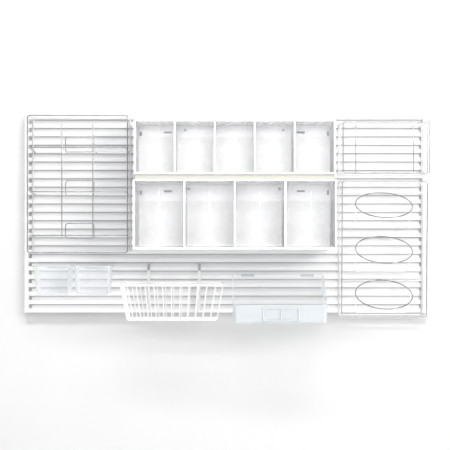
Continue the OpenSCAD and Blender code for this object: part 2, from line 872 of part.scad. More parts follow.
module small_bin(i) {
    back = face_y - hang_gap;
    left = small_x[i] - small_w / 2 + small_rim;
    right = small_x[i] + small_w / 2 - small_rim;
    front = back - small_deep + small_rim;
    low_in = small_taper + small_wall;
    difference() {
        union() {
            hull() {
                block([left, front, small_rim_h - 1], [right, back, small_rim_h]);
                block([left + small_taper, front + small_front_taper, small_low_h],
                      [right - small_taper, back, small_low_h + 1]);
            }
            block([left - small_rim, front - small_rim, small_rim_h - 2],
                  [right + small_rim, back, small_rim_h]);
        }
        hull() {
            block([left + small_wall, front + small_wall, small_rim_h],
                  [right - small_wall, back - small_wall, small_rim_h + 1]);
            block([left + low_in, front + small_front_taper + small_wall, small_low_h + small_wall],
                  [right - low_in, back - small_wall, small_low_h + small_wall + 1]);
        }
    }
    strap_hook(small_x[i], small_hook_slat, back, small_hook_w, 6);
}

module small_bin_left() {
    color(frost) on_wall() small_bin(0);
}

module small_bin_right() {
    color(frost) on_wall() small_bin(1);
}

// ---- assembly ----

back_sheet();
slat_faces();
slat_shelves();
slat_webs();
top_cap();
side_trim_left();
side_trim_right();
wall_batten_left();
wall_batten_right();
batten_rivets();
tier_front_frame();
tier_back_frame();
tier_side_wires();
tier_front_rails();
tier_uprights();
tier_loops();
tier_hooks();
shelf_back_frame();
shelf_front_frames();
shelf_side_wires();
shelf_uprights();
shelf_hooks();
ring_back_frame();
ring_front_frame();
ring_side_wires();
ring_top();
ring_middle();
ring_bottom();
ring_feet();
ring_hooks();
upper_housing();
upper_dividers();
upper_bin_1();
upper_bin_2();
upper_bin_3();
upper_bin_4();
upper_bin_5();
upper_hooks();
upper_lock_screws();
upper_lock_plates();
lower_housing();
lower_dividers();
lower_bin_1();
lower_bin_2();
lower_bin_3();
lower_bin_4();
lower_hooks();
lower_lock_screws();
lower_lock_plates();
small_bin_left();
small_bin_right();
basket_rim();
basket_front_wires();
basket_back_wires();
basket_side_wires();
basket_base_wires();
hanger_left();
hanger_right();
storage_box();
label_frame();
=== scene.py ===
import json
import math

import bpy
from mathutils import Matrix, Vector

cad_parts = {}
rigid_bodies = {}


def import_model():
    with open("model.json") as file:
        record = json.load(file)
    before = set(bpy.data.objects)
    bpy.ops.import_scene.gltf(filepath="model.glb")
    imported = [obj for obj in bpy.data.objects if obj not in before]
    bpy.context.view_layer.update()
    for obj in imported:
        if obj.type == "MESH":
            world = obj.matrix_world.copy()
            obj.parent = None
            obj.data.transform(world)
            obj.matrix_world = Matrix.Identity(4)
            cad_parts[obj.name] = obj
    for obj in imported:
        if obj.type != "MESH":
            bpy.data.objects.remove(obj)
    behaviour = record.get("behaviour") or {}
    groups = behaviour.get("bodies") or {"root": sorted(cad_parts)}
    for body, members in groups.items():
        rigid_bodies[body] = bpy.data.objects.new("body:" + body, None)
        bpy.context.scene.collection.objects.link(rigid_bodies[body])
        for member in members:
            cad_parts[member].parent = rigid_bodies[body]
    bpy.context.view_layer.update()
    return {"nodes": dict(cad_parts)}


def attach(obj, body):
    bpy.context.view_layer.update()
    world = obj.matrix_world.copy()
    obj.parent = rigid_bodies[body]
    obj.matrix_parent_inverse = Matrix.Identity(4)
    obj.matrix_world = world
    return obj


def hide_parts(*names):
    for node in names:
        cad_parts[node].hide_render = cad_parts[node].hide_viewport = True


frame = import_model()

# Sizes in millimetres. x is right, y is towards the wall, h is height above the panel's bottom edge.
# The frame's origin is at h = MID, on the wall.
MID = 387.35
PITCH, SLATS, LIP = 25.4, 23, 12.7
SHEET_T, SHEET_Y, SHEET_HALF = 1.2, -17.2, 587.5
HALF_W = 609.5
SLAT_H = SLATS * PITCH
PANEL_H = SLAT_H + 19.4
FACE_Y = -24.4
HOUSING_Y = FACE_Y - 0.3
HUNG_Y = FACE_Y - 0.2
TONGUE_Y = -22.8
FRAME_Y = -28.0
FRAME_R, LIGHT_R = 1.7, 1.3
HOOK_T, HOOK_DROP = 1.6, 9.2
CUTS = 8  # lengthwise parts of the long panel pieces


def at(x, y, h):
    """A place in millimetres as a point in metres in the shared frame."""
    return (x / 1000, y / 1000, (h - MID) / 1000)


def lip_top(slat):
    """Height of the upper edge of a slat's front face, where hooks rest. Slats count from 0 at the bottom."""
    return slat * PITCH + LIP


# ---------------------------------------------------------------- materials


def new_material(name):
    m = bpy.data.materials.new(name)
    m.use_nodes = True
    tree = m.node_tree
    bsdf = next(n for n in tree.nodes if n.type == "BSDF_PRINCIPLED")
    return m, tree, bsdf


def coords(tree, stretch=(1, 1, 1)):
    tex = tree.nodes.new("ShaderNodeTexCoord")
    mapping = tree.nodes.new("ShaderNodeMapping")
    mapping.inputs["Scale"].default_value = stretch
    tree.links.new(tex.outputs["Object"], mapping.inputs["Vector"])
    return mapping.outputs["Vector"]


def noise(tree, vector, scale, detail=4, rough=0.55, distortion=0.0):
    n = tree.nodes.new("ShaderNodeTexNoise")
    n.inputs["Scale"].default_value = scale
    n.inputs["Detail"].default_value = detail
    n.inputs["Roughness"].default_value = rough
    n.inputs["Distortion"].default_value = distortion
    tree.links.new(vector, n.inputs["Vector"])
    return n.outputs["Fac"]


def ramp(tree, fac, stops):
    r = tree.nodes.new("ShaderNodeValToRGB")
    els = r.color_ramp.elements
    els[0].position, els[0].color = stops[0][0], (*stops[0][1], 1)
    els[1].position, els[1].color = stops[-1][0], (*stops[-1][1], 1)
    for p, c in stops[1:-1]:
        e = els.new(p)
        e.color = (*c, 1)
    tree.links.new(fac, r.inputs["Fac"])
    return r.outputs["Color"]


def remap(tree, fac, low, high, from_low=0.3, from_high=0.7):
    r = tree.nodes.new("ShaderNodeMapRange")
    r.inputs["From Min"].default_value = from_low
    r.inputs["From Max"].default_value = from_high
    r.inputs["To Min"].default_value = low
    r.inputs["To Max"].default_value = high
    tree.links.new(fac, r.inputs["Value"])
    return r.outputs["Result"]


def bump(tree, bsdf, height, strength, distance, under=None):
    b = tree.nodes.new("ShaderNodeBump")
    b.inputs["Strength"].default_value = strength
    b.inputs["Distance"].default_value = distance
    tree.links.new(height, b.inputs["Height"])
    if under is not None:
        tree.links.new(under, b.inputs["Normal"])
    tree.links.new(b.outputs["Normal"], bsdf.inputs["Normal"])
    return b.outputs["Normal"]


def feed(tree, value, socket):
    """Links an output to an input, or sets the input to a plain number or an RGB colour."""
    if isinstance(value, tuple):
        socket.default_value = (*value, 1)
    elif isinstance(value, (int, float)):
        socket.default_value = value
    else:
        tree.links.new(value, socket)


def math_node(tree, operation, *values):
    m = tree.nodes.new("ShaderNodeMath")
    m.operation = operation
    for value, socket in zip(values, m.inputs):
        feed(tree, value, socket)
    return m.outputs[0]


def mix(tree, fac, a, b, blend="MIX"):
    m = tree.nodes.new("ShaderNodeMix")
    m.data_type = "RGBA"
    m.blend_type = blend
    for value, socket in ((fac, m.inputs["Factor"]), (a, m.inputs[6]), (b, m.inputs[7])):
        feed(tree, value, socket)
    return m.outputs[2]


def coated(name, base, dark, rough, peel, peel_scale=900):
    """White coating: faint mottling and dust, orange-peel bump, uneven gloss, scuffs."""
    m, t, b = new_material(name)
    v = coords(t)
    mottle = ramp(t, noise(t, v, 14, 6), [(0.35, dark), (0.6, base)])
    scuff = noise(t, coords(t, (6, 60, 60)), 9, 8, 0.7)
    streak = remap(t, scuff, 0.0, 1.0, 0.68, 0.80)
    colour = mix(t, streak, mottle, tuple(c * 0.93 for c in base))
    t.links.new(colour, b.inputs["Base Color"])
    t.links.new(remap(t, noise(t, v, 55, 5), rough - 0.05, rough + 0.09), b.inputs["Roughness"])
    fine = bump(t, b, noise(t, v, peel_scale, 2), peel, 0.00008)
    bump(t, b, noise(t, v, 90, 3), 0.12, 0.0003, fine)
    b.inputs["IOR"].default_value = 1.5
    b.inputs["Specular IOR Level"].default_value = 0.5
    b.inputs["Coat Weight"].default_value = 0.15
    b.inputs["Coat Roughness"].default_value = 0.12
    return m


# Height inside one 25.4 mm row, as a part of the row, and the painted shade there: darker towards the slot's top,
# under the slat above.
SLOT_PAINTED_SHADE = [(0.50, (0.97, 0.97, 0.97)), (0.64, (0.92, 0.92, 0.92)), (0.76, (0.84, 0.84, 0.84)),
             (0.87, (0.70, 0.70, 0.70)), (0.97, (0.42, 0.42, 0.43))]


def slot_coat_with_painted_shade(name):
    """The same white coating inside the slots, with shade painted in: darker towards the top of each slot, under the
    slat above.
    """
    m = coated(name, (0.90, 0.90, 0.902), (0.88, 0.88, 0.885), 0.46, 0.3)
    t = m.node_tree
    b = next(n for n in t.nodes if n.type == "BSDF_PRINCIPLED")
    plain = b.inputs["Base Color"].links[0].from_socket
    split = t.nodes.new("ShaderNodeSeparateXYZ")
    t.links.new(coords(t), split.inputs["Vector"])
    row = math_node(t, "MULTIPLY_ADD", split.outputs["Z"], 1000 / PITCH, MID / PITCH)
    painted_shade = ramp(t, math_node(t, "FRACT", row), SLOT_PAINTED_SHADE)
    t.links.new(mix(t, 1.0, plain, painted_shade, "MULTIPLY"), b.inputs["Base Color"])
    return m


def bright_wire(name, light, dark, rough):
    """Plated wire: a fine bump, cloudy plating, a few dull spots."""
    m, t, b = new_material(name)
    v = coords(t)
    cloud = noise(t, v, 45, 5)
    colour = ramp(t, cloud, [(0.3, dark), (0.65, light)])
    t.links.new(colour, b.inputs["Base Color"])
    b.inputs["Metallic"].default_value = 1.0
    spots = noise(t, v, 420, 3, 0.7)
    t.links.new(remap(t, spots, rough, rough + 0.16, 0.45, 0.75), b.inputs["Roughness"])
    bump(t, b, noise(t, v, 1500, 2), 0.12, 0.00005)
    return m


def zinc(name):
    m, t, b = new_material(name)
    v = coords(t)
    cell = t.nodes.new("ShaderNodeTexVoronoi")
    cell.inputs["Scale"].default_value = 260
    t.links.new(v, cell.inputs["Vector"])
    spangle = [(0.1, (0.42, 0.43, 0.45)), (0.8, (0.60, 0.61, 0.63))]
    colour = ramp(t, cell.outputs["Distance"], spangle)
    t.links.new(colour, b.inputs["Base Color"])
    b.inputs["Metallic"].default_value = 1.0
    t.links.new(remap(t, noise(t, v, 300, 4), 0.28, 0.5), b.inputs["Roughness"])
    bump(t, b, noise(t, v, 900, 3), 0.25, 0.00006)
    return m


def pine(name):
    m, t, b = new_material(name)
    v = coords(t, (38, 20, 1.6))
    rings = noise(t, v, 3.2, 6, 0.6, 1.2)
    grain = [(0.32, (0.50, 0.33, 0.17)), (0.5, (0.70, 0.52, 0.31)), (0.66, (0.78, 0.62, 0.40))]
    colour = ramp(t, rings, grain)
    t.links.new(colour, b.inputs["Base Color"])
    t.links.new(remap(t, rings, 0.5, 0.72), b.inputs["Roughness"])
    fine = bump(t, b, noise(t, coords(t, (160, 160, 6)), 5, 5), 0.35, 0.0003)
    bump(t, b, rings, 0.3, 0.0004, fine)
    return m


# The share of its cover a clear plastic keeps for shadow rays, so that light passes through it.
SHADOW_COVER = 0.2


def clear(name, tint, face_alpha, edge_alpha, rough, haze):
    """Clear or milky sheet plastic: see-through face on, denser where it is seen along its surface."""
    m, t, b = new_material(name)
    v = coords(t)
    cloud = noise(t, v, 22, 4)
    paler = tuple(min(1, c * 1.04) for c in tint)
    t.links.new(mix(t, cloud, tint, paler), b.inputs["Base Color"])
    weight = t.nodes.new("ShaderNodeLayerWeight")
    weight.inputs["Blend"].default_value = 0.32
    dense = remap(t, weight.outputs["Facing"], face_alpha, edge_alpha, 0.05, 0.95)
    spread = math_node(t, "MULTIPLY_ADD", cloud, haze, dense)
    path = t.nodes.new("ShaderNodeLightPath")
    passing = remap(t, path.outputs["Is Shadow Ray"], 1.0, SHADOW_COVER, 0.0, 1.0)
    t.links.new(math_node(t, "MULTIPLY", spread, passing), b.inputs["Alpha"])
    t.links.new(remap(t, noise(t, v, 70, 5, 0.65), rough, rough + 0.1), b.inputs["Roughness"])
    bump(t, b, noise(t, coords(t, (1, 1, 0.25)), 30, 2), 0.05, 0.0004)
    b.inputs["IOR"].default_value = 1.55
    b.inputs["Coat Weight"].default_value = 0.4
    b.inputs["Coat Roughness"].default_value = 0.05
    return m


# White coating with painted shade towards the top of each slot, for the webs.
SLOT_COAT_PAINTED_SHADE = slot_coat_with_painted_shade("slot_powder_coat_painted_shade")
PAINT = coated("panel_powder_coat", (0.90, 0.90, 0.902), (0.88, 0.88, 0.885), 0.42, 0.3)
TRIM = coated("trim_powder_coat", (0.915, 0.915, 0.915), (0.89, 0.89, 0.895), 0.40, 0.3)
UNIT = coated("unit_white_plastic", (0.93, 0.93, 0.932), (0.915, 0.915, 0.92), 0.26, 0.12, 500)
# Skirt strip under the upper unit: its dark warm grey is painted shade for the shaded band between the units.
SKIRT_PLASTIC_PAINTED_SHADE = coated("unit_skirt_plastic_painted_shade", (0.42, 0.42, 0.375), (0.405, 0.405, 0.36), 0.34, 0.12, 500)
COATED_WIRE = coated("white_dip_coating", (0.93, 0.93, 0.93), (0.90, 0.90, 0.905), 0.34, 0.35, 600)
STRAP = coated("strap_coating", (0.80, 0.80, 0.805), (0.76, 0.76, 0.77), 0.38, 0.25)
# One plating in four copies: the grey and dark ones carry painted dark reflections, the white one a painted bright
# reflection.
PLATING_PAINTED_DARK_REFLECTION = bright_wire("tier_plating_painted_dark_reflection", (0.52, 0.52, 0.535), (0.39, 0.39, 0.40), 0.20)
PLATING_PAINTED_BRIGHT_REFLECTION = bright_wire("back_plating_painted_bright_reflection", (0.96, 0.96, 0.96), (0.88, 0.88, 0.89), 0.30)
PLATING_PAINTED_GREY_REFLECTION = bright_wire("side_plating_painted_grey_reflection", (0.66, 0.66, 0.67), (0.52, 0.52, 0.535), 0.18)
PLATING_PAINTED_DARKEST_REFLECTION = bright_wire("ring_plating_painted_darkest_reflection", (0.42, 0.42, 0.435), (0.30, 0.30, 0.32), 0.16)
ZINC = zinc("zinc_plate")
PINE = pine("planed_pine")
BIN_CLEAR = clear("bin_clear_polystyrene", (0.94, 0.95, 0.97), 0.012, 0.30, 0.06, 0.015)
BIN_EDGE = clear("bin_side_polystyrene", (0.90, 0.90, 0.99), 0.05, 0.42, 0.08, 0.02)
# The same clear plastic made whiter and denser: a painted highlight streak on the bins' ribs.
BIN_RIB_PAINTED_HIGHLIGHT = clear("bin_rib_painted_highlight", (0.97, 0.97, 0.98), 0.50, 0.60, 0.10, 0.02)
FROST = clear("frosted_polypropylene", (0.69, 0.72, 0.75), 0.62, 0.95, 0.32, 0.04)
FROST_THIN = clear("clear_box_polypropylene", (0.92, 0.945, 0.965), 0.07, 0.55, 0.28, 0.03)
FROST_LIGHT = clear("thin_frosted_polypropylene", (0.92, 0.945, 0.97), 0.13, 0.75, 0.30, 0.04)
LABEL = coated("label_frame_plastic", (0.67, 0.72, 0.77), (0.64, 0.69, 0.74), 0.30, 0.12, 500)


# ---------------------------------------------------------------- mesh helpers


def round_edges(obj, width, segments, angle):
    """A bevel of the given width in millimetres on every edge sharper than the angle in degrees."""
    mod = obj.modifiers.new("Bevel", "BEVEL")
    mod.width = width / 1000
    mod.segments = segments
    mod.limit_method = "ANGLE"
    mod.angle_limit = math.radians(angle)
    return mod


class Shape:
    """Collects vertices and faces in millimetres, then becomes one object."""

    def __init__(self):
        self.verts = []
        self.faces = []
        self.slots = []

    def add(self, verts, faces, slot=0):
        base = len(self.verts)
        self.verts.extend(verts)
        self.faces.extend([tuple(base + i for i in f) for f in faces])
        self.slots.extend([slot] * len(faces))

    def object(self, name, materials, body, replaces, bevel=0.0, segments=2):
        mesh = bpy.data.meshes.new(name)
        mesh.from_pydata([at(*p) for p in self.verts], [], self.faces)
        for m in materials:
            mesh.materials.append(m)
        mesh.polygons.foreach_set("material_index", self.slots)
        mesh.validate()
        mesh.update()
        obj = bpy.data.objects.new(name, mesh)
        bpy.context.scene.collection.objects.link(obj)
        mesh.shade_smooth()
        if bevel > 0:
            mod = round_edges(obj, bevel, segments, 38)
            mod.use_clamp_overlap = True
            mod.harden_normals = True
        mesh.set_sharp_from_angle(angle=math.radians(50))
        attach(obj, body)
        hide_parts(*replaces)
        return obj


def corner_arc(before, p, after, radius, steps):
    """Points along the arc that rounds the corner at p, or p itself where there is nothing to round."""
    u, w = before - p, after - p
    reach = min(u.length, w.length) * 0.49
    u.normalize()
    w.normalize()
    angle = u.angle(w, math.pi)
    if radius <= 0 or angle > math.pi - 0.02:
        return [p]
    cut = min(radius / math.tan(angle / 2), reach)
    r = cut * math.tan(angle / 2)
    centre = p + (u + w).normalized() * (r / math.sin(angle / 2))
    start, end = p + u * cut - centre, p + w * cut - centre
    turn = start.angle(end, 0)
    out = []
    for k in range(steps + 1):
        f = k / steps
        out.append(centre + (start * math.sin((1 - f) * turn) + end * math.sin(f * turn)) / math.sin(turn))
    return out


def fillet(points, radius, steps=6, closed=False):
    """Rounds the corners of a polyline in two or three dimensions."""
    pts = [Vector(p) for p in points]
    n = len(pts)
    out = []
    for i, p in enumerate(pts):
        if not closed and i in (0, n - 1):
            out.append(p)
        else:
            out += corner_arc(pts[i - 1], p, pts[(i + 1) % n], radius, steps)
    return out


def rounded(points, radii, steps=4):
    """Rounds a closed 2D outline, one radius per corner."""
    pts = [Vector(p) for p in points]
    out = []
    for i, (p, r) in enumerate(zip(pts, radii)):
        out += corner_arc(pts[i - 1], p, pts[(i + 1) % len(pts)], r, steps)
    return [tuple(p) for p in out]


def tube(shape, path, radius, sides=12, closed=False):
    """Sweeps a round wire along a path. The ends are domed."""
    pts = [Vector(p) for p in path]
    n = len(pts)

    def tangent(i):
        if closed:
            return (pts[(i + 1) % n] - pts[(i - 1) % n]).normalized()
        a, b = pts[max(i - 1, 0)], pts[min(i + 1, n - 1)]
        return (b - a).normalized()

    t0 = tangent(0)
    helper = Vector((0, 0, 1)) if abs(t0.z) < 0.9 else Vector((1, 0, 0))
    normal = t0.cross(helper).normalized()
    rings = []
    turns = [2 * math.pi * k / sides for k in range(sides)]

    def ring(centre, nrm, tan, r):
        side = tan.cross(nrm)
        return [centre + (nrm * math.cos(a) + side * math.sin(a)) * r for a in turns]

    def dome(end, nrm, tan, way):
        """Three shrinking rings that round off one end of the wire."""
        out = []
        for degrees in (20, 45, 75):
            c = math.radians(degrees)
            out.append(ring(end + tan * way * radius * math.sin(c), nrm, tan, radius * math.cos(c)))
        return out

    previous = t0
    for i in range(n):
        tan = tangent(i)
        axis = previous.cross(tan)
        if axis.length > 1e-7:
            normal = Matrix.Rotation(previous.angle(tan), 3, axis.normalized()) @ normal
        normal = (normal - tan * normal.dot(tan)).normalized()
        if not closed and i == 0:
            rings += dome(pts[0], normal, tan, -1)[::-1]
        rings.append(ring(pts[i], normal, tan, radius))
        if not closed and i == n - 1:
            rings += dome(pts[-1], normal, tan, 1)
        previous = tan
    verts = [tuple(p) for r in rings for p in r]
    faces = []
    count = len(rings)
    for i in range(count if closed else count - 1):
        j = (i + 1) % count
        for k in range(sides):
            m = (k + 1) % sides
            faces.append((i * sides + k, i * sides + m, j * sides + m, j * sides + k))
    if not closed:
        faces.append(tuple(range(sides - 1, -1, -1)))
        faces.append(tuple((count - 1) * sides + k for k in range(sides)))
    shape.add(verts, faces)


def extrude_x(shape, outline, x0, x1, slot=0, cuts=1):
    """A closed outline in (y, h), anticlockwise seen from +X, run along X."""
    n = len(outline)
    verts = []
    for s in range(cuts + 1):
        x = x0 + (x1 - x0) * s / cuts
        verts += [(x, y, h) for y, h in outline]
    faces = []
    for s in range(cuts):
        for k in range(n):
            m = (k + 1) % n
            faces.append((s * n + k, (s + 1) * n + k, (s + 1) * n + m, s * n + m))
    faces.append(tuple(range(n)))
    faces.append(tuple(cuts * n + k for k in range(n - 1, -1, -1)))
    shape.add(verts, faces, slot)


def extrude_z(shape, outline, h0, h1):
    n = len(outline)
    verts = [(x, y, h) for h in (h0, h1) for x, y in outline]
    faces = [(k, (k + 1) % n, n + (k + 1) % n, n + k) for k in range(n)]
    faces.append(tuple(range(n - 1, -1, -1)))
    faces.append(tuple(n + k for k in range(n)))
    shape.add(verts, faces)


def plate(centreline, thickness, radius, steps=5):
    """Outline of a bent strip: a polyline in two dimensions given a thickness and rounded bends."""
    line = fillet(centreline, radius, steps)
    n = len(line)
    left, right = [], []
    for i in range(n):
        a, b = line[max(i - 1, 0)], line[min(i + 1, n - 1)]
        t = (b - a).normalized()
        nrm = Vector((-t.y, t.x)) * thickness / 2
        left.append(tuple(line[i] + nrm))
        right.append(tuple(line[i] - nrm))
    outline = right + left[::-1]
    area = sum(a[0] * b[1] - b[0] * a[1] for a, b in zip(outline, outline[1:] + outline[:1]))
    return outline if area > 0 else outline[::-1]


def block(shape, low, high, slot=0):
    (x0, y0, h0), (x1, y1, h1) = low, high
    verts = [(x, y, h) for h in (h0, h1) for y in (y0, y1) for x in (x0, x1)]
    faces = [(0, 2, 3, 1), (4, 5, 7, 6), (0, 1, 5, 4), (2, 6, 7, 3), (0, 4, 6, 2), (1, 3, 7, 5)]
    shape.add(verts, faces, slot)


def lathe(shape, centre, axis, profile, sides=24):
    """Turns (radius, distance along axis) points about an axis through centre. The first and last radius are 0."""
    a = Vector(axis).normalized()
    u = a.orthogonal().normalized()
    w = a.cross(u)
    c = Vector(centre)
    turns = [2 * math.pi * k / sides for k in range(sides)]
    verts = [tuple(c + a * profile[0][1])]
    for r, d in profile[1:-1]:
        verts += [tuple(c + a * d + (u * math.cos(t) + w * math.sin(t)) * r) for t in turns]
    verts.append(tuple(c + a * profile[-1][1]))
    faces = []
    rings = len(profile) - 2
    for k in range(sides):
        m = (k + 1) % sides
        faces.append((0, 1 + m, 1 + k))
        for i in range(rings - 1):
            faces.append((1 + i * sides + k, 1 + i * sides + m, 1 + (i + 1) * sides + m, 1 + (i + 1) * sides + k))
        faces.append((1 + (rings - 1) * sides + k, 1 + (rings - 1) * sides + m, len(verts) - 1))
    shape.add(verts, faces)


def paint_node(name, material, bevel=0.0):
    """Gives a CAD node its finished material and, with a bevel, rounds its edges."""
    obj = frame["nodes"][name]
    obj.data.materials.clear()
    obj.data.materials.append(material)
    if bevel > 0:
        round_edges(obj, bevel, 2, 40)


# ---------------------------------------------------------------- panel


def build_slats():
    s = Shape()
    for k in range(SLATS):
        b = k * PITCH
        face = [(FACE_Y, b), (FACE_Y + 3.2, b), (FACE_Y + 3.2, b + SHEET_T), (FACE_Y + SHEET_T, b + SHEET_T),
                (FACE_Y + SHEET_T, b + LIP - 2.6), (FACE_Y + 1.5, b + LIP - 2.6), (FACE_Y + 1.5, b + LIP),
                (FACE_Y, b + LIP)]
        extrude_x(s, rounded(face, [1.1, 0, 0, 0.7, 0.1, 0.14, 0.7, 0.75]), 5 - HALF_W, HALF_W - 5, 0, CUTS)
        shelf = [(FACE_Y + 3.1, b), (SHEET_Y, b), (SHEET_Y, b + SHEET_T), (FACE_Y + 3.1, b + SHEET_T)]
        extrude_x(s, shelf, -SHEET_HALF, SHEET_HALF, 0, CUTS)
        web = [(SHEET_Y - 3.0, b + LIP - 2.2), (SHEET_Y - 3.0, b + LIP + 0.4), (SHEET_Y - 0.7, b + PITCH + 0.2)]
        # The webs inside the slots take the second material, with painted shade towards each slot's top.
        extrude_x(s, plate(web, SHEET_T, 2.0), -SHEET_HALF, SHEET_HALF, 1, CUTS)
    for k in range(1, SLATS):
        b = k * PITCH
        hem = rounded([(-16.02, b - 3.4), (-15.4, b - 3.0), (-15.4, b + 3.0), (-16.02, b + 3.4)], [0, 0.3, 0.3, 0])
        extrude_x(s, hem[::-1], -SHEET_HALF + 0.4, SHEET_HALF - 0.4)
    s.object("slats", [PAINT, SLOT_COAT_PAINTED_SHADE], "panel", ("slat_faces", "slat_shelves", "slat_webs"))


def build_top_cap():
    s = Shape()
    low, high = SLAT_H + SHEET_T / 2, PANEL_H - SHEET_T / 2
    back, front = SHEET_Y - 0.05, FACE_Y + SHEET_T / 2
    line = [(back, low), (front, low), (front, high), (back, high)]
    extrude_x(s, plate(line, SHEET_T, 1.6), 5 - HALF_W, HALF_W - 5, 0, CUTS)
    s.object("top_cap_channel", [PAINT], "panel", ("top_cap",))


def build_trim(side):
    """A folded channel over one end of the panel, with a small cap at its foot and its head."""
    s = Shape()
    t = SHEET_T
    inner, outer = HALF_W - 13, HALF_W - t / 2
    line = [(inner, FACE_Y - 2 + t / 2), (outer, FACE_Y - 2 + t / 2), (outer, -1 - t / 2), (inner, -1 - t / 2)]
    outline = [(side * x, y) for x, y in plate(line, t, 2.0)]
    if side < 0:
        outline = outline[::-1]
    extrude_z(s, outline, 0, PANEL_H)
    x0, x1 = sorted((side * (inner + 0.6), side * (outer - 0.8)))
    for h in (0.35, PANEL_H - 2.35):
        block(s, (x0, FACE_Y - 0.6, h), (x1, -2.4, h + 2))
    name = "side_trim_right" if side > 0 else "side_trim_left"
    s.object(name + "_channel", [TRIM], "panel", (name,), 0.25)


# Radius and distance towards the room: the rivet's head on the sheet, and its upset end in the batten's recess.
RIVET_HEAD = [(0, 0), (3.6, 0), (3.6, 0.1), (3.3, 0.65), (2.6, 1.1), (1.4, 1.36), (0, 1.4)]
RIVET_END = [(0, 0.55), (1.1, 0.5), (1.4, 0.15), (2.4, 0.12), (3.3, 0.2), (3.6, 0.5), (3.6, 1.3), (0, 1.3)]


def build_rivets():
    s = Shape()
    for x in (-203.2, 203.2):
        for k in range(4):
            h = 60 + 6 * PITCH * k
            lathe(s, (x, SHEET_Y, h), (0, -1, 0), RIVET_HEAD)
            lathe(s, (x, 0, h), (0, -1, 0), RIVET_END)
    s.object("rivet_heads", [ZINC], "panel", ("batten_rivets",))


build_slats()
build_top_cap()
build_trim(-1)
build_trim(1)
build_rivets()
paint_node("back_sheet", PAINT)
paint_node("wall_batten_left", PINE, 0.8)
paint_node("wall_batten_right", PINE, 0.8)


# ---------------------------------------------------------------- tip-out units

UNIT_W, UNIT_X, DIVIDER, BIN_T = 587.0, 26.5, 5.0, 2.0
UNIT_LEFT = UNIT_X - UNIT_W / 2
ROOF = 4.0
UNIT_BACK = 3
PIVOT_IN = 6
WALL_OUT = 5.6
SKIRT_H = 398.5
UPPER = {"tag": "upper", "bins": 5, "h": 413.0, "tall": 158.0, "deep": 133.0, "floor": 5.0, "back_dz": 103.0,
         "slat": 21, "lock": 148.5}
LOWER = {"tag": "lower", "bins": 4, "h": 195.0, "tall": 201.5, "deep": 168.0, "floor": 6.0, "back_dz": 128.0,
         "slat": 14, "lock": 137.0}


def cell_w(u):
    return (UNIT_W - (u["bins"] + 1) * DIVIDER) / u["bins"]


def cell_x(u, i):
    return UNIT_LEFT + DIVIDER + i * (cell_w(u) + DIVIDER)


class Grid:
    """Faces on a grid of x and height lines that is repeated in several layers. Each used crossing is one vertex."""

    def __init__(self, xs, zs, layers):
        self.xs, self.zs, self.layers = xs, zs, layers
        self.ids, self.verts, self.faces = {}, [], []

    def vertex(self, layer, i, k):
        key = (layer, i, k)
        if key not in self.ids:
            self.ids[key] = len(self.verts)
            self.verts.append((self.xs[i], self.layers[layer], self.zs[k]))
        return self.ids[key]

    def quad(self, *corners):
        self.faces.append(tuple(self.vertex(*c) for c in corners))


def build_unit(u):
    """One moulded shell: back, floor, roof, ends and dividers, open at the front."""
    xs = [UNIT_LEFT]
    for i in range(u["bins"]):
        xs += [cell_x(u, i), cell_x(u, i) + cell_w(u)]
    xs.append(UNIT_X + UNIT_W / 2)
    zs = [u["h"], u["h"] + u["floor"], u["h"] + u["tall"] - ROOF, u["h"] + u["tall"]]
    front = HOUSING_Y - u["deep"]
    g = Grid(xs, zs, {"front": front, "back": HOUSING_Y, "inner": HOUSING_Y - UNIT_BACK})
    end, top = len(xs) - 1, len(zs) - 1
    for i in range(end):
        for k in range(top):
            hole = i % 2 == 1 and k == 1
            near = "inner" if hole else "front"
            g.quad((near, i, k), (near, i + 1, k), (near, i + 1, k + 1), (near, i, k + 1))
            g.quad(("back", i, k), ("back", i, k + 1), ("back", i + 1, k + 1), ("back", i + 1, k))
            if hole:
                for a, b in (((i, k), (i + 1, k)), ((i + 1, k + 1), (i, k + 1)), ((i, k + 1), (i, k)),
                             ((i + 1, k), (i + 1, k + 1))):
                    g.quad(("front", *a), ("front", *b), ("inner", *b), ("inner", *a))
    for i in range(end):
        g.quad(("front", i, 0), ("back", i, 0), ("back", i + 1, 0), ("front", i + 1, 0))
        g.quad(("front", i, top), ("front", i + 1, top), ("back", i + 1, top), ("back", i, top))
    for k in range(top):
        g.quad(("front", 0, k), ("front", 0, k + 1), ("back", 0, k + 1), ("back", 0, k))
        g.quad(("front", end, k), ("back", end, k), ("back", end, k + 1), ("front", end, k + 1))
    s = Shape()
    s.add(g.verts, g.faces)
    tag = u["tag"]
    if tag == "upper":
        # A strip hanging under the upper unit, in the skirt material with painted shade.
        block(s, (xs[0] + 2, front + 12, SKIRT_H), (xs[-1] - 2, front + 15, u["h"] + 0.5), 1)
    replaced = (tag + "_housing", tag + "_dividers")
    return s.object(tag + "_unit_shell", [UNIT, SKIRT_PLASTIC_PAINTED_SHADE], "panel", replaced, 0.9, 3)


def arc_points(a, b, steps):
    """Points along the circle about the pivot from a to b."""
    ra, rb = math.hypot(*a), math.hypot(*b)
    ta, tb = math.atan2(a[1], a[0]), math.atan2(b[1], b[0])
    out = []
    for k in range(steps + 1):
        f = k / steps
        r, t = ra + (rb - ra) * f, ta + (tb - ta) * f
        out.append((r * math.cos(t), r * math.sin(t)))
    return out


